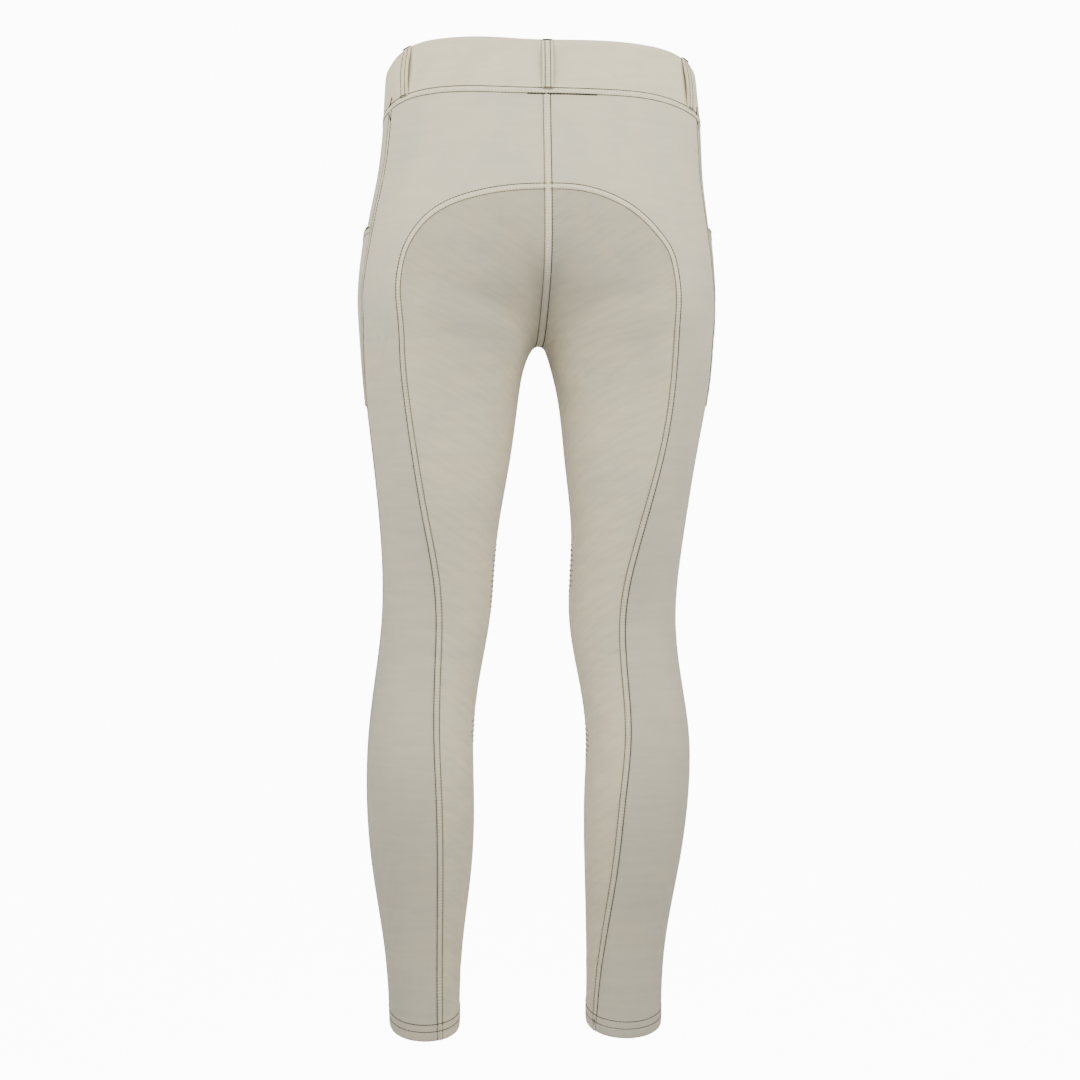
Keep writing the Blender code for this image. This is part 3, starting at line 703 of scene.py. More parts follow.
# %% Table of creases
# Each crease's half, turn, height, end turn, end height, bow, width and depth
CREASES = (
    # fine slanting pulls beside the left pocket
    (1, 54, -0.182, 46, -0.288, -0.003, 0.0034, -0.00110),
    (1, 44, -0.206, 40, -0.292, -0.002, 0.0034, -0.00100),
    (1, 49, -0.196, 43, -0.286, 0.000, 0.0030, 0.00060),
    (1, 36, -0.228, 35, -0.288, 0.002, 0.0032, -0.00060),
    # long soft pulls down the outer thighs
    (1, 16, -0.205, 31, -0.330, 0.008, 0.0060, -0.00070),
    (1, 34, -0.225, 52, -0.345, -0.006, 0.0055, 0.00055),
    (1, 8, -0.250, 20, -0.385, 0.005, 0.0070, 0.00060),
    (-1, 20, -0.190, 33, -0.290, 0.008, 0.0060, 0.00060),
    (-1, 30, -0.240, 44, -0.350, -0.006, 0.0055, -0.00060),
    (-1, 10, -0.270, 18, -0.390, 0.006, 0.0070, 0.00055),
    # the hollow under the seat and the pull from it to the crotch
    (1, 98, -0.208, 168, -0.254, 0.008, 0.0170, -0.0024),
    (-1, 98, -0.206, 168, -0.254, 0.008, 0.0170, -0.0022),
    (1, 118, -0.300, 172, -0.262, -0.008, 0.0070, 0.00070),
    (-1, 112, -0.306, 172, -0.262, -0.008, 0.0070, 0.00065),
    (1, 128, -0.340, 178, -0.282, -0.006, 0.0060, -0.00060),
    (-1, 126, -0.332, 178, -0.280, -0.007, 0.0065, -0.00055),
    # pulls in front of the hip joint
    (1, -168, -0.236, -104, -0.190, 0.008, 0.0080, -0.00110),
    (1, -172, -0.250, -112, -0.222, 0.007, 0.0070, -0.00090),
    (1, -150, -0.268, -100, -0.256, 0.006, 0.0070, 0.00070),
    (-1, -168, -0.238, -106, -0.196, 0.008, 0.0080, -0.00105),
    (-1, -172, -0.252, -116, -0.226, 0.006, 0.0070, -0.00085),
    (-1, -148, -0.270, -98, -0.262, 0.006, 0.0075, 0.00065),
    # ripples behind the knees
    (1, 62, -0.536, 122, -0.548, 0.004, 0.0045, -0.00050),
    (1, 70, -0.560, 140, -0.566, -0.003, 0.0050, -0.00065),
    (1, 84, -0.583, 132, -0.579, 0.003, 0.0045, -0.00045),
    (-1, 70, -0.532, 128, -0.541, 0.003, 0.0045, -0.00050),
    (-1, 78, -0.556, 146, -0.562, -0.004, 0.0050, -0.00065),
    (-1, 92, -0.580, 150, -0.575, 0.003, 0.0050, -0.00045),
    # slack above and below the kneecaps
    (1, -120, -0.478, -62, -0.470, 0.004, 0.0070, 0.00055),
    (1, -116, -0.600, -70, -0.592, -0.004, 0.0060, 0.00050),
    (-1, -118, -0.474, -66, -0.468, 0.004, 0.0070, 0.00055),
    (-1, -114, -0.602, -72, -0.594, -0.004, 0.0060, 0.00050),
    # slack round the ankles
    (1, 20, -0.868, 96, -0.878, 0.003, 0.0045, 0.00045),
    (1, 120, -0.884, 200, -0.876, 0.003, 0.0045, -0.00045),
    (1, -110, -0.862, -30, -0.872, -0.003, 0.0050, 0.00050),
    (-1, 14, -0.872, 84, -0.881, 0.003, 0.0045, -0.00040),
    (-1, 100, -0.866, 190, -0.872, -0.003, 0.0050, 0.00045),
    (-1, -112, -0.866, -34, -0.875, -0.003, 0.0050, 0.00050),
)
# The girth of a half or a leg, as metres for each degree of turn, at these heights
GIRTH = ((0.06, 0.00125), (-0.20, 0.00140), (-0.31, 0.00147), (-0.45, 0.00115),
         (-0.60, 0.00099), (-0.70, 0.00097), (-0.85, 0.00078), (-0.94, 0.00066))
GIRTH_AT = smooth_curve(column(GIRTH, 0), column(GIRTH, 1))
CREASE_STEPS = 25
CREASE_ENDS = 0.35         # of its depth is left at a crease's ends


def crease_relief(side, turn, height):
    """How far the creases push the cloth out at each point."""
    metre = GIRTH_AT(height)
    relief = np.zeros_like(height)
    where = np.linspace(0.0, 1.0, CREASE_STEPS)
    for half, turn_a, height_a, turn_b, height_b, bow, width, depth in CREASES:
        if half != side:
            continue
        line_turn = turn_a + (turn_b - turn_a) * where
        line_height = height_a + (height_b - height_a) * where + bow * np.sin(math.pi * where)
        nearest = np.full(height.shape, np.inf)
        place = np.zeros_like(height)
        for share, one_turn, one_height in zip(where, line_turn, line_height):
            sideways = ((turn - one_turn + 180.0) % 360.0 - 180.0) * metre
            far = sideways**2 + (height - one_height)**2
            place = np.where(far < nearest, share, place)
            nearest = np.minimum(far, nearest)
        swell = CREASE_ENDS + (1.0 - CREASE_ENDS) * np.sin(math.pi * place)
        relief += depth * swell * np.exp(-nearest / width**2)
    return relief


print(len(CREASES), "creases")

# %% [markdown]
# Near a seam the cloth is drawn down by the needle, and between the stitches it puckers a
# little. Further away that fades. At the hem the cloth is folded up and sewn twice round, so it
# is thicker there, with two fine grooves.

# %% Relief of seams and hems
SEAM_HALF = 0.00275         # half the width of a flat seam
GROOVE_DEPTH = 0.00030
GROOVE_WIDTH = 0.00055
PUCKER_LENGTH = 0.0115
PUCKER_DEPTH = 0.00010
PUCKER_REACH = 0.0045
SLOW_PUCKER = (2.7, 0.6)    # length and depth of the slower puckers, as shares of the quick ones
HEM_DEPTH = 0.020
HEM_STEP = 0.0006
HEM_RAMP = 0.0020           # the height over which the fold ends
HEM_EDGE = (0.0012, 0.35)   # the hem's edge is rounded over this height, and keeps this share
HEM_LINES = (0.0095, 0.0165)


def groove(distance):
    """The line pressed into the cloth by one row of stitches."""
    return -GROOVE_DEPTH * np.exp(-(distance / GROOVE_WIDTH)**2)


def seam_relief(distance, along, shift):
    """The groove beside a seam, and the puckers that fade away from it."""
    fade = np.exp(-np.clip(distance - SEAM_HALF, 0.0, None) / PUCKER_REACH)
    wave = np.sin(2.0 * math.pi * along / PUCKER_LENGTH + shift)
    length, depth = SLOW_PUCKER
    slow = np.sin(2.0 * math.pi * along / (PUCKER_LENGTH * length) + 2.0 * shift)
    return groove(distance - SEAM_HALF) + PUCKER_DEPTH * fade * (wave + depth * slow)


def hem_relief(turn, height):
    """The turned-up hem and its two rows of stitches."""
    above = height - hem_height(turn)
    fold = HEM_STEP * np.clip((HEM_DEPTH - above) / HEM_RAMP, 0.0, 1.0)
    fold *= HEM_EDGE[1] + (1.0 - HEM_EDGE[1]) * np.clip(above / HEM_EDGE[0], 0.0, 1.0)
    return fold + sum(groove(above - line) for line in HEM_LINES)


def panel_relief(grid):
    """All the relief of one panel."""
    first = grid["across"]
    second = grid["width"] - grid["across"]
    relief = crease_relief(grid["side"], grid["turn"], grid["heights"])
    relief += seam_relief(first, grid["along"], 0.4 * grid["side"])
    relief += seam_relief(second, grid["along"], 1.9 * grid["side"])
    return relief + hem_relief(grid["turn"], grid["heights"])


for title, grid in PANELS.items():
    grid["relief"] = panel_relief(grid)
    print(title, "relief in mm", (grid["relief"].min() * 1000).round(2),
          (grid["relief"].max() * 1000).round(2))

# %% [markdown]
# ## From a grid to cloth
# Cloth is a sheet with two faces. A grid of the right number of cells is made flat, its corners
# are moved to their places on the body, and the whole sheet is extruded inwards by the wall.
# A folded edge, such as the waistband's rim, is bevelled so that it catches the light as a
# fold does. Each corner also keeps its place on the flat cloth, in metres, so that the weave
# follows the piece and doesn't swim through it.

# %% Making cloth
CLOTH = 0.0012
BAND_CLOTH = 0.0026
LOOP_CLOTH = 0.0016
LAY_GAP = 0.0003
MERGE_WITHIN = 0.00002
FOLD_ROUND = 0.42          # of the wall is bevelled at a folded edge
SHARP_ANGLE = 60.0


def make_cloth(name, points, normals, lift, wall, material, place, folds=()):
    """A closed cloth piece from a grid of points, rows first."""
    rows = points.shape[0] - 1
    columns = points.shape[1] - 1
    lifted = points + normals * np.asarray(lift)[..., None]
    bm = bmesh.new()
    bmesh.ops.create_grid(bm, x_segments=columns, y_segments=rows, size=0.5)
    out = bm.verts.layers.float_vector.new("outward")
    flat = bm.verts.layers.float_vector.new("cloth_place")
    which = bm.verts.layers.int.new("row")
    for vert in bm.verts:
        i = round((vert.co.x + 0.5) * columns)
        j = round((0.5 - vert.co.y) * rows)
        vert.co = lifted[j, i]
        vert[out] = normals[j, i]
        vert[flat] = place[j, i]
        vert[which] = j + 1
    bmesh.ops.remove_doubles(bm, verts=bm.verts, dist=MERGE_WITHIN)
    made = bmesh.ops.extrude_face_region(bm, geom=list(bm.faces))
    for vert in [item for item in made["geom"] if isinstance(item, bmesh.types.BMVert)]:
        vert.co -= vert[out] * wall
        vert[which] = -vert[which]
    if folds:
        edges = [edge for edge in bm.edges
                 if edge.verts[0][which] == edge.verts[1][which]
                 and abs(edge.verts[0][which]) in folds]
        bmesh.ops.bevel(bm, geom=edges, offset=wall * FOLD_ROUND, offset_type="OFFSET", segments=2,
                        profile=0.5, affect="EDGES", clamp_overlap=True, material=-1)
    bmesh.ops.recalc_face_normals(bm, faces=bm.faces)
    mesh = bpy.data.meshes.new(name)
    bm.to_mesh(mesh)
    bm.free()
    mesh.attributes.remove(mesh.attributes["outward"])
    mesh.attributes.remove(mesh.attributes["row"])
    mesh.shade_smooth()
    mesh.set_sharp_from_angle(angle=math.radians(SHARP_ANGLE))
    mesh.materials.append(material)
    piece = bpy.data.objects.new(name, mesh)
    bpy.context.scene.collection.objects.link(piece)
    return piece


def flat_place(across, along, distance):
    """A point's place on the flat cloth, and how far it is from the nearest seam."""
    return np.stack(np.broadcast_arrays(across, along, distance), axis=-1)


def cloth_area(piece):
    """Half the surface of a thin closed piece, in square metres."""
    return sum(face.area for face in piece.data.polygons) / 2.0


print("wall", CLOTH)

# %% [markdown]
# ## The look of the cloth
# The body is a fine matt stretch weave. Close to, it shows level ribs under a millimetre apart;
# from a step away it is a warm stone colour that shifts in soft patches towards grey, with
# faint level streaks from the loom. The seat is brushed, so its streaks run on the slant of the
# nap. On the upper seat a painted shade darkens the colour, and it fades out towards the thighs.
# A thin sheen lightens the cloth where it turns away, as the fibres' ends do. All patterns read
# the cloth's own place in metres. Each is a noise, spread so that only its middle values show,
# and it mixes a tint into the colour by a small weight.

# %% Cloth material
RIB_PITCH = 0.00080
YARN_PITCH = 0.00062
RIB_WOBBLE = 0.35
RIB_WEIGHT = 0.05
SEAT_SHADE_FADE_HEIGHTS = (-0.275, -0.165)         # heights where the painted shade on the seat starts, below, and is full, above
PAINTED_SEAT_SHADE = (0.64, 0.64, 0.66)       # the painted shade: the seat's colour is multiplied by this where it is full
# Scale, stretch, turn, detail, and the lowest and highest value that shows, of each noise
PATCHES = (17.0, (1.0, 0.7), 20.0, 3.0, 0.36, 0.66)
WARM_PATCHES = (31.0, (0.8, 1.0), -35.0, 3.0, 0.42, 0.68)
LOOM_STREAKS = (60.0, (0.22, 2.4), 0.0, 2.0, 0.35, 0.65)
NAP_STREAKS = (80.0, (0.25, 2.4), 28.0, 4.0, 0.38, 0.66)
LEVEL_NAP = (80.0, (0.25, 2.4), 0.0, 4.0, 0.38, 0.66)
WARM_WEIGHT = 0.55
LOOM_WEIGHT = 0.035
LOOM_TINT = (0.12, 0.11, 0.09)
NAP_TINT = (0.16, 0.14, 0.11)
RIB_TINT = (0.10, 0.09, 0.08)
SHEEN_TINT = (0.80, 0.82, 0.90, 1.0)


def new_node(tree, kind, **settings):
    """A shader node with its settings."""
    node = tree.nodes.new(kind)
    for key, value in settings.items():
        setattr(node, key, value)
    return node


def mix_colours(tree, factor, first, second, blend="MIX"):
    """A colour mix of two links or colours."""
    node = new_node(tree, "ShaderNodeMix", data_type="RGBA", blend_type=blend)
    for socket, value in ((node.inputs["Factor"], factor), (node.inputs[6], first),
                          (node.inputs[7], second)):
        if isinstance(value, bpy.types.NodeSocket):
            tree.links.new(value, socket)
        elif isinstance(value, (int, float)):
            socket.default_value = value
        else:
            socket.default_value = (*value, 1.0)
    return node.outputs[2]


def cloth_place(tree):
    """The place on the flat cloth, in metres."""
    return new_node(tree, "ShaderNodeAttribute", attribute_name="cloth_place").outputs["Vector"]


def object_place(tree):
    """The place in the garment, in metres."""
    return new_node(tree, "ShaderNodeTexCoord").outputs["Object"]


def spread(tree, value, low, high, to_low=0.0, to_high=1.0):
    """A value stretched from one range to another and kept inside it."""
    node = new_node(tree, "ShaderNodeMapRange", interpolation_type="SMOOTHSTEP")
    set_inputs(node, From_Min=low, From_Max=high, To_Min=to_low, To_Max=to_high)
    tree.links.new(value, node.inputs["Value"])
    return node.outputs["Result"]


def stretched_noise(tree, place, scale, stretch, turn, detail, low, high):
    """Noise on the cloth, longer one way than the other, spread from 0 to 1."""
    mapping = new_node(tree, "ShaderNodeMapping", vector_type="TEXTURE")
    set_inputs(mapping, Rotation=(0.0, 0.0, math.radians(turn)),
               Scale=(1.0 / stretch[0], 1.0 / stretch[1], 1.0))
    tree.links.new(place, mapping.inputs["Vector"])
    noise = new_node(tree, "ShaderNodeTexNoise", noise_dimensions="2D")
    set_inputs(noise, Scale=scale, Detail=detail, Roughness=0.55)
    tree.links.new(mapping.outputs["Vector"], noise.inputs["Vector"])
    return spread(tree, noise.outputs["Fac"], low, high)


def object_noise(tree, scale):
    """Even noise through the garment."""
    noise = new_node(tree, "ShaderNodeTexNoise")
    set_inputs(noise, Scale=scale)
    tree.links.new(object_place(tree), noise.inputs["Vector"])
    return noise.outputs["Fac"]


def rib_wave(tree, place, pitch, direction, wobble):
    """Fine even ribs on the cloth."""
    wave = new_node(tree, "ShaderNodeTexWave", wave_type="BANDS", bands_direction=direction)
    set_inputs(wave, Scale=2.0 * math.pi / (20.0 * pitch), Distortion=wobble, Detail=1.0,
               Detail_Scale=0.4)
    tree.links.new(place, wave.inputs["Vector"])
    return wave.outputs["Fac"]


def tinted(tree, base, value, weight, tint):
    """A colour with a tint mixed in where a value is high, by a weight at most."""
    return mix_colours(tree, spread(tree, value, 0.0, 1.0, 0.0, weight), base, tint)


def add_bump(tree, shader, height, strength, distance):
    """Let a value raise the surface a little in the shading."""
    bump = new_node(tree, "ShaderNodeBump")
    set_inputs(bump, Strength=strength, Distance=distance)
    tree.links.new(height, bump.inputs["Height"])
    tree.links.new(bump.outputs["Normal"], shader.inputs["Normal"])


def paint_seat_shade(tree, base):
    """Darken the upper seat's colour with a painted shade that fades out lower down."""
    parts = new_node(tree, "ShaderNodeSeparateXYZ")
    tree.links.new(object_place(tree), parts.inputs["Vector"])
    # Painted shade: full on the upper seat and fading out towards the thighs.
    pressed = spread(tree, parts.outputs["Z"], *SEAT_SHADE_FADE_HEIGHTS)
    return mix_colours(tree, pressed, base, PAINTED_SEAT_SHADE, "MULTIPLY")


def cloth_material(name, colour, cool, warm, nap, roughness, sheen, brushed_nap_and_seat_shade=False):
    """A stretch weave with ribs, soft patches, loom and nap streaks, a thin sheen, and on the seat
    a painted shade.
    """
    material, tree, shader = new_material(name)
    place = cloth_place(tree)
    ribs = rib_wave(tree, place, RIB_PITCH, "Y", RIB_WOBBLE)
    yarns = rib_wave(tree, place, YARN_PITCH, "X", RIB_WOBBLE)
    streaks = NAP_STREAKS if brushed_nap_and_seat_shade else LEVEL_NAP
    base = mix_colours(tree, stretched_noise(tree, place, *PATCHES), colour, cool)
    for noise, weight, tint in ((WARM_PATCHES, WARM_WEIGHT, warm),
                                (LOOM_STREAKS, LOOM_WEIGHT, LOOM_TINT), (streaks, nap, NAP_TINT)):
        base = tinted(tree, base, stretched_noise(tree, place, *noise), weight, tint)
    base = mix_colours(tree, spread(tree, ribs, 0.0, 1.0, RIB_WEIGHT, 0.0), base, RIB_TINT)
    # On the seat, slanted nap streaks and a painted shade on its upper part.
    if brushed_nap_and_seat_shade:
        base = paint_seat_shade(tree, base)
    tree.links.new(base, shader.inputs["Base Color"])
    set_inputs(shader, Roughness=roughness, Specular_IOR_Level=0.25, Sheen_Weight=sheen,
               Sheen_Roughness=0.45, Sheen_Tint=SHEEN_TINT)
    weave = new_node(tree, "ShaderNodeMath", operation="MULTIPLY")
    tree.links.new(ribs, weave.inputs[0])
    tree.links.new(yarns, weave.inputs[1])
    add_bump(tree, shader, weave.outputs["Value"], 0.35, 0.00012)
    return material


STRETCH_CLOTH = cloth_material(
    "stretch_cloth_weave", colour=(0.600, 0.560, 0.480), cool=(0.548, 0.530, 0.470),
    warm=(0.618, 0.552, 0.470), nap=0.02, roughness=0.80, sheen=0.20)
SEAT_CLOTH = cloth_material(
    "brushed_seat_weave", colour=(0.694, 0.640, 0.519), cool=(0.628, 0.600, 0.506),
    warm=(0.716, 0.624, 0.510), nap=0.07, roughness=0.86, sheen=0.26, brushed_nap_and_seat_shade=True)
BAND_WEAVE = cloth_material(
    "waistband_weave", colour=(0.690, 0.640, 0.515), cool=(0.648, 0.610, 0.505),
    warm=(0.640, 0.556, 0.442), nap=0.02, roughness=0.76, sheen=0.16)
print("cloths", [m.name for m in (STRETCH_CLOTH, SEAT_CLOTH, BAND_WEAVE)])

# %% [markdown]
# ## The panels of the legs
# Three panels go round each leg: the front, the outer back and the full seat, which runs on
# down the inside of the leg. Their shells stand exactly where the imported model's pieces do, and
# take their place.

# %% Leg panels
PIECES = {}
MATERIAL_OF = {"front": STRETCH_CLOTH, "outer": STRETCH_CLOTH, "seat": SEAT_CLOTH}
GRAIN_LINE = {"front": -80.0, "outer": 40.0, "seat": 115.0}     # turn of each panel's middle


def level_place(grid, kind):
    """Places on the cloth: along the level ribs towards the inner leg, and down the leg."""
    near = np.minimum(grid["across"], grid["width"] - grid["across"])
    round_it = (grid["turn"] - GRAIN_LINE[kind]) * GIRTH_AT(grid["heights"])
    # A metre to one side or the other, so that the two legs have different patches
    return flat_place(round_it - grid["side"], -grid["heights"], near)


for title, grid in PANELS.items():
    kind = title.split("_")[0]
    piece = make_cloth(title + "_cloth", grid["points"], grid["normals"], grid["relief"], CLOTH,
                       MATERIAL_OF[kind], level_place(grid, kind),
                       folds=(grid["points"].shape[0],))
    PIECES[title] = piece
    print(piece.name, len(piece.data.polygons), "faces,", round(cloth_area(piece), 4), "m2")

# %% [markdown]
# ## The thigh pockets
# Each pocket is a single layer laid over the front panel, with its back edge caught in the side
# seam. Its mouth is a folded hem, its front edge and its foot are turned under and sewn down,
# and it stands away a little in the middle so that a phone slides in.

# %% Pockets
POCKET_COLUMNS = 40
POCKET_BULGE = 0.0014
POCKET_MOUTH = 0.15
MOUTH_HEM = 0.011
MOUTH_STEP = 0.0005
MOUTH_RAMP = 0.0015
MOUTH_LINE_IN = 0.001      # the mouth's stitches lie this much farther in
POCKET_LINES = (0.0020, 0.0075)


def pocket_grid(side):
    """The part of the front panel that the pocket covers."""
    outer = side_run(side)
    line = pocket_run(side, outer, front_edge_run())
    rows = slice(YOKE_ROWS + POCKET_START, YOKE_ROWS + ARCH_ROWS + POCKET_LEG_ROWS + 1)
    lines = [(run[0][rows], run[1][rows]) for run in (outer, line)]
    return settle(lay_panel(side, lines, POCKET_COLUMNS))


def pocket_relief(grid):
    """The pocket's bulge, its folded mouth and the grooves of its stitching."""
    down = np.linspace(0.0, 1.0, grid["across"].shape[0])[:, None]
    across = grid["across"] / grid["width"]
    far = grid["width"] - grid["across"]
    under = grid["along"][-1:] - grid["along"]
    arch = POCKET_MOUTH + (1.0 - POCKET_MOUTH) * down
    relief = POCKET_BULGE * np.sin(math.pi * across) * np.sin(math.pi * arch)
    relief += MOUTH_STEP * np.clip((MOUTH_HEM - grid["along"]) / MOUTH_RAMP, 0.0, 1.0)
    for line in POCKET_LINES:
        relief += groove(far - line) + groove(under - line)
        relief += groove(grid["along"] - line - MOUTH_LINE_IN)
    relief += crease_relief(grid["side"], grid["turn"], grid["heights"])
    return relief + seam_relief(grid["across"], grid["along"], 0.9)


POCKETS = {}
for side in (1, -1):
    grid = pocket_grid(side)
    title = "pocket_" + side_name(side)
    lift = LAY_GAP + CLOTH + pocket_relief(grid)
    grid["shell"] = grid["points"] + grid["normals"] * lift[..., None]
    POCKETS[title] = grid
    PIECES[title] = make_cloth(title + "_cloth", grid["points"], grid["normals"], lift, CLOTH,
                               STRETCH_CLOTH, level_place(grid, "front"),
                               folds=(1, grid["points"].shape[0]))
    print(title, "mouth", round(float(grid["width"][0, 0]), 3), "m wide")

# %% [markdown]
# ## The waistband
# The band is doubled cloth, folded at the rim. Two halves meet at the side seams. It is laid out
# like a panel, but round the ring, so its columns are places on the ring: 0 at the centre front,
# 1 at the centre back and 2 at the centre front again.

# %% Places on the ring
RING_STEPS = 600


def ring_place(place):
    """Half and share for a place on the ring."""
    place = np.mod(place, 2.0)
    return np.where(place <= 1.0, 1, -1), np.where(place <= 1.0, place, 2.0 - place)


def ring_points(place, height):
    """Surface points and normals for places on the ring."""
    side, share = ring_place(place)
    points = np.empty(share.shape + (3,))
    normals = np.empty(share.shape + (3,))
    for half in (1, -1):
        mine = side == half
        points[mine] = surface(half, share[mine], height[mine])
        normals[mine] = outward(half, share[mine], height[mine])
    return points, normals


def waist_edge(edge, place):
    """Height of the waistband's rim or seam at places on the ring."""
    side, share = ring_place(place)
    left = WAISTLINE[edge + "_left"](share)
    right = WAISTLINE[edge + "_right"](share)
    return np.where(side > 0, left, right)


def even_places(first, last, step):
    """Places on the ring that are evenly spaced along the waist seam."""
    fine = np.linspace(first, last, RING_STEPS)
    far = travelled(ring_points(fine, waist_edge("seam", fine))[0])
    count = max(2, round(far[-1] / step))
    return np.interp(np.linspace(0.0, far[-1], count + 1), far, fine)


SIDE_PLACES = {side: float(side_run(side)[0][0]) for side in (1, -1)}
BAND_ENDS = {
    "waistband_back": (SIDE_PLACES[1], 2.0 - SIDE_PLACES[-1]),
    "waistband_front": (2.0 - SIDE_PLACES[-1], 2.0 + SIDE_PLACES[1]),
}
BAND_SIZES = {}
print("side seams at", SIDE_PLACES)

# %% Waistband
BAND_STEP = 0.0026
BAND_ROWS = 22
BAND_WAVES = (        # where each wave starts, its bends round half the ring, its depth in metres
    (0.7, 5.0, 0.00035),
    (2.1, 11.0, 0.00022),
    (0.2, 23.0, 0.00012),
)
BAND_STILL = 0.06          # of the height at each edge where the waves stay as small as they get
RIM_ROUND = (0.0006, 0.05)     # how far the rim draws in, and over which share of the height
WAIST_STRIP_RISE = 0.0027


def band_relief(place, down, under):
    """Soft swells of the doubled cloth, and the groove above the waist seam."""
    relief = sum(depth * np.sin(math.pi * waves * place + shift)
                 for shift, waves, depth in BAND_WAVES)
    relief = relief * np.sin(math.pi * np.clip(down, BAND_STILL, 1.0 - BAND_STILL))
    relief -= RIM_ROUND[0] * np.exp(-(down / RIM_ROUND[1])**2)
    return relief + groove(under - WAIST_STRIP_RISE - SEAM_HALF)


for title, (first, last) in BAND_ENDS.items():
    ring = even_places(first, last, BAND_STEP)
    down = np.linspace(0.0, 1.0, BAND_ROWS + 1)[:, None]
    place = ring[None, :] + np.zeros_like(down)
    height = waist_edge("rim", place) * (1.0 - down) + waist_edge("seam", place) * down
    points, normals = ring_points(place, height)
    under = height - waist_edge("seam", place)
    across = travelled(points[0])[None, :] + np.zeros_like(height)
    relief = band_relief(place, down, under)
    BAND_SIZES[title] = (float(across.max()), float(np.ptp(height, axis=0).max()))
    flat = flat_place(across, -height, under)
    PIECES[title] = make_cloth(title + "_cloth", points, normals, relief, BAND_CLOTH,
                               BAND_WEAVE, flat, folds=(1,))
    print(title, points.shape, round(float(across.max()), 3), "m round")

# %% [markdown]
# ## The belt loops
# A belt loop is a folded strap with a row of stitches near each edge. It is sewn to the rim and
# into the waist seam, and bows out between them, so that a belt passes behind it.

# %% Belt loops
LOOP_WIDTH = 0.0105
LOOP_BOW = 0.0026
LOOP_STITCH_IN = 0.0026
LOOP_TUCK = 0.0015         # how far the loop's foot reaches past the seam band's edge
LOOP_FOOT = 1.04           # the bow ends a little above the foot
LOOP_LENGTH = 0.048
EDGE_DROP = 0.0005         # how far a loop's side edges draw in
NEAR_BY = 0.01             # a step round the ring, over which directions are read
LOOP_COLUMNS = 14
LOOP_ROWS = 44
LOOP_STITCHED = LOOP_WIDTH / 2.0 - LOOP_STITCH_IN
LOOP_PLACES = {
    "loop_centre_back": 1.003,
    "loop_left_back": 0.630,
    "loop_right_back": 1.386,
    "loop_left_front": 0.215,
    "loop_right_front": 1.785,
}


def loop_grid(place):
    """Points and normals of a belt loop's outer face before it bows out."""
    middle, _ = ring_points(np.array([place]), waist_edge("seam", np.array([place])))
    beside, _ = ring_points(np.array([place + NEAR_BY]), waist_edge("seam", np.array([place])))
    per_metre = NEAR_BY / np.linalg.norm(beside - middle)
    sideways = np.linspace(-0.5, 0.5, LOOP_COLUMNS + 1)[None, :] * LOOP_WIDTH
    down = np.linspace(0.0, 1.0, LOOP_ROWS + 1)[:, None]
    where = place + sideways * per_metre + np.zeros_like(down)
    low = waist_edge("seam", where) + WAIST_STRIP_RISE + SEAM_HALF - LOOP_TUCK
    height = waist_edge("rim", where) * (1.0 - down) + low * down
    points, normals = ring_points(where, height)
    return points, normals, sideways + np.zeros_like(down), down + np.zeros_like(sideways)


def loop_lift(sideways, down):
    """How far a loop stands out: its bow, its rounded edges and its stitched grooves."""
    bow = LOOP_BOW * np.sin(math.pi * np.clip(down * LOOP_FOOT, 0.0, 1.0))
    round_off = EDGE_DROP * (np.abs(sideways) / (LOOP_WIDTH / 2.0))**6
    stitched = groove(np.abs(sideways) - LOOP_STITCHED)
    return LAY_GAP + LOOP_CLOTH + bow - round_off + stitched


LOOPS = {}
for title, where in LOOP_PLACES.items():
    points, normals, sideways, down = loop_grid(where)
    lift = loop_lift(sideways, down)
    LOOPS[title] = (points + normals * lift[..., None], normals, sideways)
    flat = flat_place(sideways, down * LOOP_LENGTH + where,
                      LOOP_WIDTH / 2.0 - np.abs(sideways))
    PIECES[title] = make_cloth(title + "_cloth", points, normals, lift, LOOP_CLOTH, BAND_WEAVE,
                               flat, folds=(1, LOOP_ROWS + 1))
print(len(LOOPS), "belt loops")

# %% [markdown]
# ## Flat seams
# The panels meet edge to edge under a flat seam: a band of cover threads, five and a half
# millimetres wide, that lies over the join with a needle row along each side. A line of points
# down the seam carries the band. At each point the band's section is a low rounded arch, and
# fine ticks run across it where the cover threads turn.

# %% Lines over the cloth
SEAM_STEP = 0.0010


def read_along(where, far, values):
    """A run's points or directions at other distances along it."""
    return np.stack([np.interp(where, far, values[:, k]) for k in range(3)], axis=1)


def even_line(points, normals, closed=False):
    """A line with even steps, with its normals and the directions along and beside it."""
    far = travelled(points)
    count = max(4, round(far[-1] / SEAM_STEP))
    where = np.linspace(0.0, far[-1], count + 1)
    line = read_along(where, far, points)
    facing = unit(read_along(where, far, normals))
    ahead = np.gradient(line, axis=0)
    if closed:
        ahead[0] = ahead[-1] = line[1] - line[-2]
    ahead = unit(ahead - facing * np.sum(ahead * facing, axis=1, keepdims=True))
    return {"points": line, "normals": facing, "ahead": ahead,
            "beside": np.cross(facing, ahead), "far": where}


def on_cloth(side, shares, heights, lift=0.0):
    """Points on the creased cloth, or lifted off it, and the directions out of it."""
    normals = outward(side, shares, heights)
    off = lift + crease_relief(side, turn_of(shares), heights)
    return surface(side, shares, heights) + normals * off[:, None], normals


print("seam step", SEAM_STEP)

# %% Seam bands
SEAM_CROWN = 0.00042
SEAM_EDGE = -0.00030
SEAM_WALL = 0.00045
SEAM_COLUMNS = 6
SEAM_FULLNESS = 2.6        # how flat the top of the band's arch is
TICK_PITCH = 0.0032
TICK_RELIEF = 0.00007
COVER_PATCHES = (140.0, (1.0, 0.35), 0.0, 3.0, 0.35, 0.70)
DITCH_SHADE_WIDTH = 0.00075       # width of the painted shade of the ditch along the band's edge
PAINTED_DITCH_SHADE = (0.16, 0.15, 0.12)


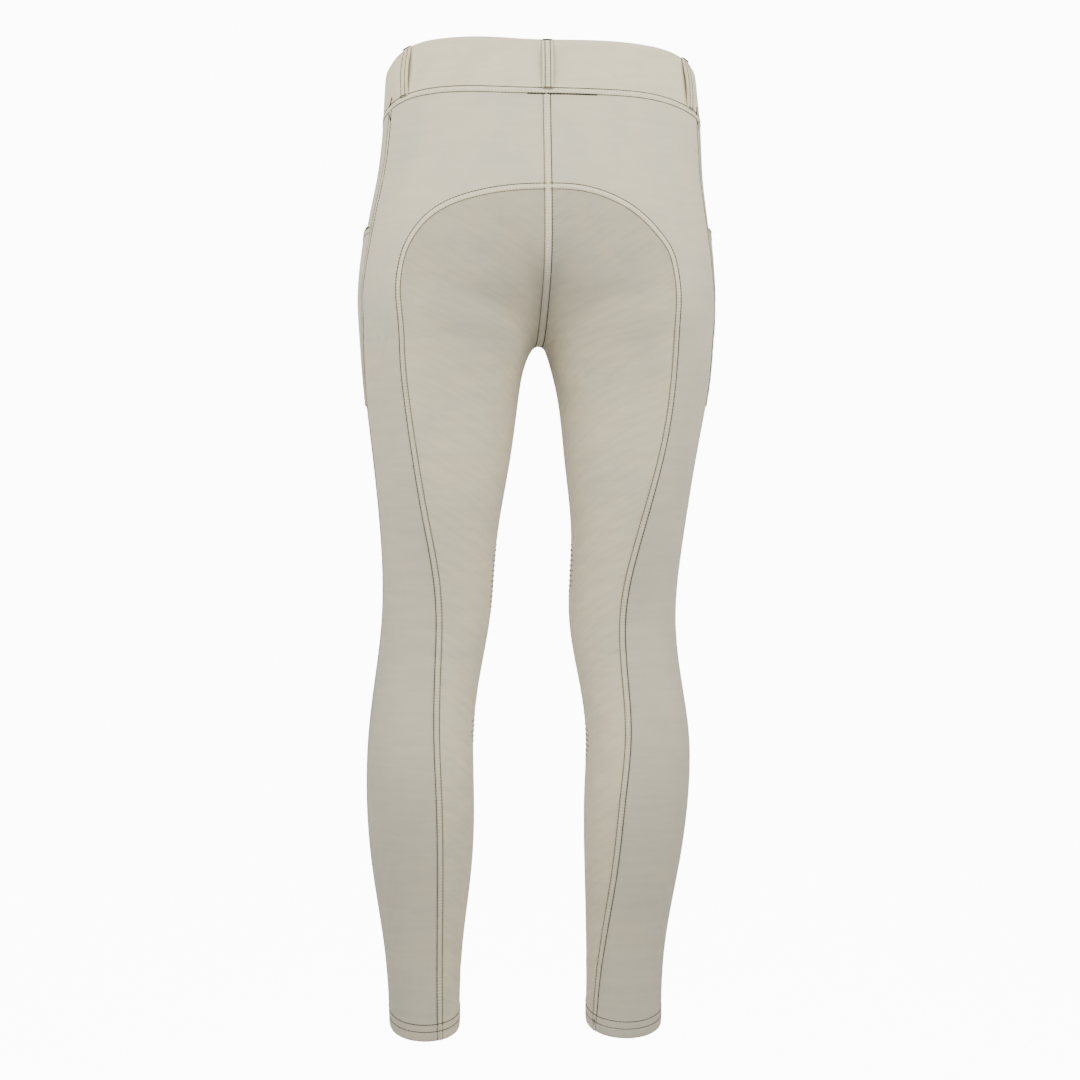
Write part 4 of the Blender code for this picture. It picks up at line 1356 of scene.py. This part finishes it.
def band_material(name, colour, shade):
    """Cover threads: pale, with fine ticks across the band and a painted shade of the ditch along
    its edges.
    """
    material, tree, shader = new_material(name)
    place = cloth_place(tree)
    parts = new_node(tree, "ShaderNodeSeparateXYZ")
    tree.links.new(place, parts.inputs["Vector"])
    ticks = spread(tree, rib_wave(tree, place, TICK_PITCH, "Y", 0.6), 0.62, 1.0)
    # Painted shade of the ditch where the band's edges dip into the cloth.
    edge = spread(tree, parts.outputs["Z"], DITCH_SHADE_WIDTH, 0.0, 0.0, 0.42)
    base = tinted(tree, colour, stretched_noise(tree, place, *COVER_PATCHES), 0.30, shade)
    base = tinted(tree, base, ticks, 0.65, shade)
    base = mix_colours(tree, edge, base, PAINTED_DITCH_SHADE)
    tree.links.new(base, shader.inputs["Base Color"])
    set_inputs(shader, Roughness=0.7, Specular_IOR_Level=0.3, Sheen_Weight=0.15)
    threads = rib_wave(tree, place, 0.00045, "X", 0.2)
    add_bump(tree, shader, threads, 0.3, 0.0001)
    return material


SEAM_COVER = band_material("seam_cover_thread", (0.668, 0.630, 0.532), (0.500, 0.468, 0.390))


def lay_seam(name, line, half):
    """The raised band of one seam."""
    across = np.linspace(-1.0, 1.0, SEAM_COLUMNS + 1)[None, :]
    far = line["far"][:, None]
    arch = SEAM_EDGE + (SEAM_CROWN - SEAM_EDGE) * (1.0 - np.abs(across)**SEAM_FULLNESS)
    tick = TICK_RELIEF * np.cos(2.0 * math.pi * far / TICK_PITCH) * (1.0 - across**2)
    lift = arch + tick
    sideways = across * half + np.zeros_like(far)
    points = line["points"][:, None] + line["beside"][:, None] * sideways[..., None]
    normals = line["normals"][:, None] + np.zeros_like(points)
    place = flat_place(sideways, far, half * (1.0 - np.abs(across)) + np.zeros_like(lift))
    return make_cloth(name, points, normals, lift, SEAM_WALL, SEAM_COVER, place)


print("seam band", SEAM_HALF * 2000, "mm wide")

# %% [markdown]
# ## Thread
# A stitch is a short grain of thread that dips into the cloth at both ends. One grain is made
# once, from a small sphere, and repeated along every needle row as arrays: hundreds of copies
# of a few dozen faces, joined into one mesh for each seam. One needle thread of a seam is a dark
# olive grey, and the other is a paler brown. The dark row beside a seam band is partly the
# thread's own colour and partly painted shade of the ditch along the band.

# %% Thread and stitches
STITCH_LENGTH = 0.0033
STITCH_PITCH = 0.0031
STITCH_WIDTH = 0.00100
STITCH_HEIGHT = 0.00062
STITCH_ENDS = (0.5, 0.3)   # where a row starts and ends, as shares of the pitch
TWIST_SCALE = 900.0
TWIST_LIGHT = 1.25         # how much lighter the thread is where it catches the light


def thread_material(name, colour):
    """Thread with a fine twist."""
    material, tree, shader = new_material(name)
    twist = spread(tree, object_noise(tree, TWIST_SCALE), 0.35, 0.65)
    base = mix_colours(tree, twist, colour, tuple(value * TWIST_LIGHT for value in colour))
    tree.links.new(base, shader.inputs["Base Color"])
    set_inputs(shader, Roughness=0.65, Specular_IOR_Level=0.2)
    return material


# Near-black: on the seams' rows it is partly the thread and partly painted shade of the ditch.
DARK_THREAD = thread_material("olive_grey_thread", (0.018, 0.017, 0.013))
PALE_THREAD = thread_material("stone_thread", (0.150, 0.122, 0.088))


def grain(segments, rings):
    """The vertices and faces of one small ball."""
    bm = bmesh.new()
    bmesh.ops.create_uvsphere(bm, u_segments=segments, v_segments=rings, radius=0.5)
    bmesh.ops.triangulate(bm, faces=bm.faces)
    bm.verts.ensure_lookup_table()
    verts = np.array([vert.co[:] for vert in bm.verts])
    faces = np.array([[vert.index for vert in face.verts] for face in bm.faces])
    bm.free()
    return verts, faces


def repeat(name, ball, middles, axes, sizes, materials, which):
    """One mesh of many copies of a ball, each at its middle and along its own axes."""
    verts, faces = ball
    local = verts[None, :, :] * np.asarray(sizes)[:, None, :]
    placed = middles[:, None, :] + np.einsum("kvi,kij->kvj", local, axes)
    index = faces[None] + (np.arange(len(middles)) * len(verts))[:, None, None]
    mesh = bpy.data.meshes.new(name)
    mesh.from_pydata(placed.reshape(-1, 3).tolist(), [], index.reshape(-1, 3).tolist())
    for material in materials:
        mesh.materials.append(material)
    mesh.polygons.foreach_set("material_index", np.repeat(which, len(faces)).astype(np.int32))
    mesh.shade_smooth()
    mesh.update()
    piece = bpy.data.objects.new(name, mesh)
    bpy.context.scene.collection.objects.link(piece)
    return piece


GRAIN = grain(6, 4)


def row_of_stitches(line, offset, lift, thread):
    """Middles, axes, sizes and threads of the stitches of one needle row."""
    far = line["far"]
    start, end = STITCH_ENDS
    where = np.arange(start * STITCH_PITCH, far[-1] - end * STITCH_PITCH, STITCH_PITCH)
    points = line["points"] + line["beside"] * offset + line["normals"] * lift
    axes = [read_along(where, far, line[name]) for name in ("ahead", "beside", "normals")]
    sizes = np.tile((STITCH_LENGTH, STITCH_WIDTH, STITCH_HEIGHT), (len(where), 1))
    return (read_along(where, far, points), np.stack(axes, axis=1), sizes,
            np.full(len(where), thread))


def sew_parts(name, parts):
    """One mesh of all the stitches of several parts of middles, axes, sizes and threads."""
    middles, axes, sizes, which = (np.concatenate(column) for column in zip(*parts))
    return repeat(name, GRAIN, middles, axes, sizes, (DARK_THREAD, PALE_THREAD), which)


def sew(name, rows):
    """All the stitches of a seam: rows of (line, offset, lift, thread)."""
    return sew_parts(name, [row_of_stitches(*row) for row in rows])


print("grain of", len(GRAIN[1]), "faces")

# %% [markdown]
# Now every seam is laid: the arch and legs of the full seat, the side seams, the inner seams,
# the centre front and back, and the waist seam that runs right round. On each half the dark
# needle row of the full seat's seam lies on the side away from the seat, as in the photograph.
# Its darkness is partly the thread and partly painted shade of the ditch there.

# %% Lay and sew the seams
DARK = 0
PALE = 1
STITCH_LIFT = 0.00018
ROW_OUT = 0.00015                  # how far the needle rows lie outside the band's edges
CENTRE_BACK_HALF = 0.0034
CLEFT_HEIGHTS = (-0.262, -0.205)   # between these heights the band rises out of the cleft
CLEFT_RISE = 0.0019
TRIMS = {}


def lay_and_sew(title, line, dark_side=1.0, both_dark=False, half=SEAM_HALF):
    """A seam's band and its two needle rows."""
    other = DARK if both_dark else PALE
    rows = [(line, dark_side * (half + ROW_OUT), STITCH_LIFT, DARK),
            (line, -dark_side * (half + ROW_OUT), STITCH_LIFT, other)]
    TRIMS[title] = [lay_seam("seam_" + title, line, half), sew("stitches_" + title, rows)]


for side in (1, -1):
    word = side_name(side)
    for title, run, dark_side in (("seat_", seat_run(side), -side), ("side_", side_run(side), side),
                                  ("inner_", inner_run(), side)):
        lay_and_sew(title + word, even_line(*on_cloth(side, *run)), dark_side)
back_line = even_line(*on_cloth(1, *join_runs(yoke_run(), cleft_run())))
rise = CLEFT_RISE * np.interp(back_line["points"][:, 2], CLEFT_HEIGHTS, (1.0, 0.0))
back_line["points"] = back_line["points"] + back_line["normals"] * rise[:, None]
lay_and_sew("centre_back", back_line, half=CENTRE_BACK_HALF)
lay_and_sew("centre_front", even_line(*on_cloth(1, *centre_front_run())))
ring = np.linspace(0.0, 2.0, 2 * RING_STEPS + 1)
WAIST_LINE = even_line(*ring_points(ring, waist_edge("seam", ring) + WAIST_STRIP_RISE), closed=True)
lay_and_sew("waist", WAIST_LINE, both_dark=True)
print(len(TRIMS), "seams,", sum(len(t[1].data.polygons) for t in TRIMS.values()), "stitch faces")

# %% [markdown]
# The hems are sewn with two plain rows of stitches all the way round. They are rows on the cloth
# itself, without a band, so their lines are rings at a set height above the hem.

# %% Hem stitches
HEM_TURNS = np.linspace(-180.0, 180.0, 241)
HEM_STITCH_SINK = -0.00012


def hem_line(side, rise):
    """A ring of points at a height above the hem."""
    heights = hem_height(HEM_TURNS) + rise
    return even_line(*on_cloth(side, 0.5 + HEM_TURNS / 360.0, heights, HEM_STEP), closed=True)


for side in (1, -1):
    rows = [(hem_line(side, rise), 0.0, HEM_STITCH_SINK, DARK) for rise in HEM_LINES]
    TRIMS["hem_" + side_name(side)] = [sew("stitches_hem_" + side_name(side), rows)]
print("hems sewn")

# %% [markdown]
# ## Stitched edges
# The pockets' turned edges and the belt loops are sewn through with plain rows of stitches. Each
# row is a line across a piece's own grid, at a set distance from an edge, so it stays parallel
# to that edge as the cloth bends.

# %% Lines on a grid
def line_at(points, normals, measure, target):
    """A line through a grid's rows where a measure has a set value."""
    targets = np.broadcast_to(target, len(points))
    line, facing = (np.concatenate([read_along([target], far, row)
                                    for target, far, row in zip(targets, measure, values)])
                    for values in (points, normals))
    return even_line(line, facing)


def pocket_lines(grid):
    """The rows of stitches down the front edge, along the foot and under the mouth."""
    shell, normals, along = grid["shell"], grid["normals"], grid["along"]
    turned = shell.transpose(1, 0, 2), normals.transpose(1, 0, 2), along.T
    rows = []
    for line, thread in zip(POCKET_LINES, (DARK, PALE)):
        edge = line_at(shell, normals, grid["across"], grid["width"][:, 0] - line)
        foot = line_at(*turned, along[-1] - line)
        mouth = line_at(*turned, line + MOUTH_LINE_IN)
        rows += [(one, 0.0, STITCH_LIFT, thread) for one in (edge, foot, mouth)]
    return rows


for title, grid in POCKETS.items():
    TRIMS[title] = [sew("stitches_" + title, pocket_lines(grid))]
for title, (points, normals, sideways) in LOOPS.items():
    rows = [(line_at(points, normals, sideways, where), 0.0, STITCH_LIFT, DARK)
            for where in (-LOOP_STITCHED, LOOP_STITCHED)]
    TRIMS[title] = [sew("stitches_" + title, rows)]
print(len(TRIMS), "sewn parts")

# %% [markdown]
# ## Bar tacks
# A bar tack is a short zigzag of dark thread, packed tight, where a seam would tear first: at
# both ends of each belt loop and each pocket mouth, and where the side seams meet the waistband.
# Its threads lie side by side across the bar, so it is the same small grain again, turned.

# %% Bar tacks
TACK_PITCH = 0.00045
TACK_THREAD = (0.00056, 0.00062)       # width and height of one thread
LOOP_TACK = (0.0090, 0.0019)           # length and width of the bar
SIDE_TACK = (0.0095, 0.0024)
MOUTH_TACK = (0.0080, 0.0018)
MOUTH_TACK_DOWN = 0.002                # below the pocket's mouth
MOUTH_TACK_ENDS = ((8, 20), (-8, -20))     # columns of each tack's middle and of its direction
TACK_UNEVEN = (0.12, 2.4)              # how much the threads' lengths differ, and how fast


def tack(middle, along, out, size, lift=0.0001, thread=DARK):
    """Middles, axes, sizes and threads of one bar tack."""
    length, width = size
    out = unit(out)
    along = unit(along - out * np.dot(along, out))
    count = max(3, round(length / TACK_PITCH))
    where = np.linspace(-0.5, 0.5, count) * length
    middles = middle + out * lift + where[:, None] * along
    axes = np.tile(np.stack([np.cross(out, along), along, out]), (count, 1, 1))
    sizes = np.tile((width, *TACK_THREAD), (count, 1))
    sizes[:, 0] *= 1.0 + TACK_UNEVEN[0] * np.sin(TACK_UNEVEN[1] * np.arange(count))
    return middles, axes, sizes, np.full(count, thread)


for title, (points, normals, sideways) in LOOPS.items():
    middle = LOOP_COLUMNS // 2
    tacks = [tack(points[row, middle], points[row, -1] - points[row, 0], normals[row, middle],
                  LOOP_TACK, thread=thread) for row, thread in ((1, DARK), (LOOP_ROWS - 1, PALE))]
    TRIMS[title].append(sew_parts("tacks_" + title, tacks))
for title, grid in POCKETS.items():
    row = int(np.argmin(np.abs(grid["along"][:, 0] - MOUTH_TACK_DOWN)))
    shell = grid["shell"][row]
    tacks = [tack(shell[end], shell[beside] - shell[end], grid["normals"][row, end], MOUTH_TACK,
                  lift=0.0002) for end, beside in MOUTH_TACK_ENDS]
    TRIMS[title].append(sew_parts("tacks_" + title, tacks))
print("loops and pockets tacked")

# %% [markdown]
# At the sides two slanting tacks hold the waist seam, one above it and one below it. On the
# right leg a short tack also closes the seat seam at the hem, and a stretch of the waist seam at
# the centre back is sewn over with three more rows.

# %% Tacks at the waist and hem
# Heights of the two side tacks over the waist seam, and the way each of them slants
SIDE_TACKS = ((0.0085, 0.55), (WAIST_STRIP_RISE - 0.0085, -0.55))
UP_STEP = 0.004
HEM_TACK = (0.0060, 0.0016)
HEM_TACK_UP = 0.009                    # above the hem, along the seam
WAIST_BAR = (-0.0505, 0.0195)          # x of its ends at the centre back
WAIST_BAR_STEPS = (0.0, 0.0004, 0.0008)    # how far each of its rows lies from the band's edge


def waist_tacks(side):
    """Two slanting tacks where the side seam meets the waist seam."""
    where = np.array([SIDE_PLACES[side] if side > 0 else 2.0 - SIDE_PLACES[side]])
    made = []
    for rise, slant in SIDE_TACKS:
        height = waist_edge("seam", where) + rise
        middle, out = ring_points(where, height)
        above, _ = ring_points(where, height + UP_STEP)
        beside, _ = ring_points(where + NEAR_BY, height)
        along = unit(above - middle) + unit(beside - middle) * slant
        made.append(tack(middle[0], along[0], out[0], SIDE_TACK, lift=0.0003))
    return made


for side in (1, -1):
    title = "side_" + side_name(side)
    TRIMS[title].append(sew_parts("tacks_" + title, waist_tacks(side)))
seat_line = even_line(*on_cloth(-1, *seat_run(-1)))
spot = int(np.searchsorted(seat_line["far"], seat_line["far"][-1] - HEM_TACK_UP))
hem_tack = tack(seat_line["points"][spot], seat_line["ahead"][spot], seat_line["normals"][spot],
                HEM_TACK, lift=0.0006)
TRIMS["seat_right"].append(sew_parts("tacks_hem_right", [hem_tack]))
x = WAIST_LINE["points"][:, 0]
behind = (WAIST_LINE["points"][:, 1] > 0.0) & (x > WAIST_BAR[0]) & (x < WAIST_BAR[1])
bar_line = even_line(WAIST_LINE["points"][behind], WAIST_LINE["normals"][behind])
bar_rows = [(bar_line, -SEAM_HALF - step, 0.0003, DARK) for step in WAIST_BAR_STEPS]
TRIMS["waist"].append(sew("stitches_waist_bar", bar_rows))
print("waist and hem tacked")

# %% [markdown]
# ## Grip dots
# The inside of each knee carries printed grip: low domes of dark silicone in a close hexagonal
# order, so that the leg doesn't slide on the saddle. The pattern is measured along the cloth
# from the inner seam, so its rows follow the panel. Only the edge of it shows from behind.

# %% Grip dots
DOT_WIDTH = 0.0021
DOT_HEIGHT = 0.00055
DOT_SPACING = 0.0059
DOT_FROM_SEAM = 0.0085
DOT_HEIGHTS = (-0.685, -0.440)
# Where each patch's rear edge runs, as heights and turns: it has two scallops towards the back.
DOT_EDGE = {
    1: ((-0.690, 196.0), (-0.656, 190.0), (-0.647, 156.0), (-0.628, 156.0), (-0.618, 190.0),
        (-0.526, 190.0), (-0.515, 156.0), (-0.461, 152.0), (-0.450, 180.0)),
    -1: ((-0.690, 200.0), (-0.674, 192.0), (-0.665, 165.0), (-0.640, 165.0), (-0.632, 192.0),
         (-0.507, 194.0), (-0.497, 165.0), (-0.461, 164.0), (-0.450, 184.0)),
}
DOT_CORNER = 0.030                 # the patch's ends are rounded over this length
CORNER_TURN = 24.0                 # and drawn in by this turn, in degrees
DOT_FROM_SEAT_SEAM = 0.02


def dot_material():
    """Dark soft silicone with a low gloss."""
    material, tree, shader = new_material("grip_silicone")
    noise = object_noise(tree, 60.0)
    base = mix_colours(tree, noise, (0.085, 0.083, 0.080), (0.125, 0.120, 0.112))
    tree.links.new(base, shader.inputs["Base Color"])
    rough = spread(tree, noise, 0.3, 0.7, 0.38, 0.55)
    tree.links.new(rough, shader.inputs["Roughness"])
    return material


def dot_places(side):
    """Shares and heights of the dots of one leg."""
    grid = PANELS["seat_" + side_name(side)]
    rows = np.arange(DOT_HEIGHTS[0], DOT_HEIGHTS[1], DOT_SPACING * math.sin(math.radians(60.0)))
    shares = []
    heights = []
    for number, height in enumerate(rows):
        row = int(np.argmin(np.abs(grid["heights"][:, -1] - height)))
        far = np.arange(DOT_FROM_SEAM + DOT_SPACING / 2.0 * (number % 2), 0.2, DOT_SPACING)
        across = grid["width"][row, 0] - far
        share = np.interp(across, grid["across"][row], grid["shares"][row])
        from_end = min(height - DOT_HEIGHTS[0], DOT_HEIGHTS[1] - height)
        corner = max(0.0, 1.0 - from_end / DOT_CORNER)**2 * CORNER_TURN
        edge = np.interp(height, *zip(*DOT_EDGE[side]))
        kept = (turn_of(share) > edge + corner) & (across > DOT_FROM_SEAT_SEAM)
        shares.append(share[kept])
        heights.append(np.full(int(kept.sum()), height))
    return np.concatenate(shares), np.concatenate(heights)


DOT_SILICONE = dot_material()
DOME = grain(8, 5)
for side in (1, -1):
    word = side_name(side)
    middles, normals = on_cloth(side, *dot_places(side))
    up = unit(np.array((0.0, 0.0, 1.0)) - normals * normals[:, 2:])
    axes = np.stack([np.cross(up, normals), up, normals], axis=1)
    sizes = np.tile((DOT_WIDTH, DOT_WIDTH, DOT_HEIGHT * 2.0), (len(middles), 1))
    dots = repeat("grip_dots_" + word, DOME, middles, axes, sizes, (DOT_SILICONE,),
                  np.zeros(len(middles), dtype=int))
    TRIMS["seat_" + word].append(dots)
    print(len(middles), "dots on the", word, "leg")

# %% [markdown]
# ## Every piece takes its place
# Each finished cloth piece rides with the imported model's root and takes the place of its plain
# piece. Its flat size is worked out and printed: across the panel at its widest, and down its
# length. Stretch cloth is cut smaller than the wearer, so the flat size is the worn size without
# that stretch. What is sewn on a piece goes with it.

# %% Ride, replace and flat size
STRETCH_ROUND = 1.08
STRETCH_DOWN = 1.02
GOES_WITH = {
    "seat_left": ("seat_left",),
    "seat_right": ("seat_right",),
    "outer_back_left": ("side_left", "centre_back", "hem_left"),
    "outer_back_right": ("side_right", "hem_right"),
    "front_left": ("inner_left", "centre_front"),
    "front_right": ("inner_right",),
    "waistband_back": ("waist",),
}


def worn_size(title):
    """A worn piece's greatest width and its length, in metres over the cloth."""
    if title in PANELS or title in POCKETS:
        grid = PANELS.get(title) or POCKETS[title]
        return float(grid["width"].max()), float(grid["along"][-1].max())
    if title in LOOPS:
        points = LOOPS[title][0]
        return LOOP_WIDTH, float(travelled(points[:, LOOP_COLUMNS // 2])[-1])
    return BAND_SIZES[title]


flat_area = 0.0
for title, piece in PIECES.items():
    kind = title.split("_")[0]
    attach(piece, "root")
    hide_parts(title)
    sewn_on = [trim for group in GOES_WITH.get(title, (title,)) for trim in TRIMS.get(group, [])]
    for trim in sewn_on:
        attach(trim, "root")
    round_it, down_it = (1.0, 1.0) if kind == "loop" else (STRETCH_ROUND, STRETCH_DOWN)
    wide, long = worn_size(title)
    flat = (wide / round_it, long / down_it)
    area = min(cloth_area(piece) / (round_it * down_it), flat[0] * flat[1])
    flat_area += area
    print(f"{title}: {flat[0]:.3f} x {flat[1]:.3f} m, {area:.4f} m2, {len(sewn_on)} trims")
print("cloth in all", round(flat_area, 3), "m2")

# %% Size and finish
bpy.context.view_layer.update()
triangles = sum(len(p.vertices) - 2 for o in bpy.data.objects if o.type == "MESH"
                and not o.hide_render and "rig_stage" not in o for p in o.data.polygons)
print(triangles, "triangles")
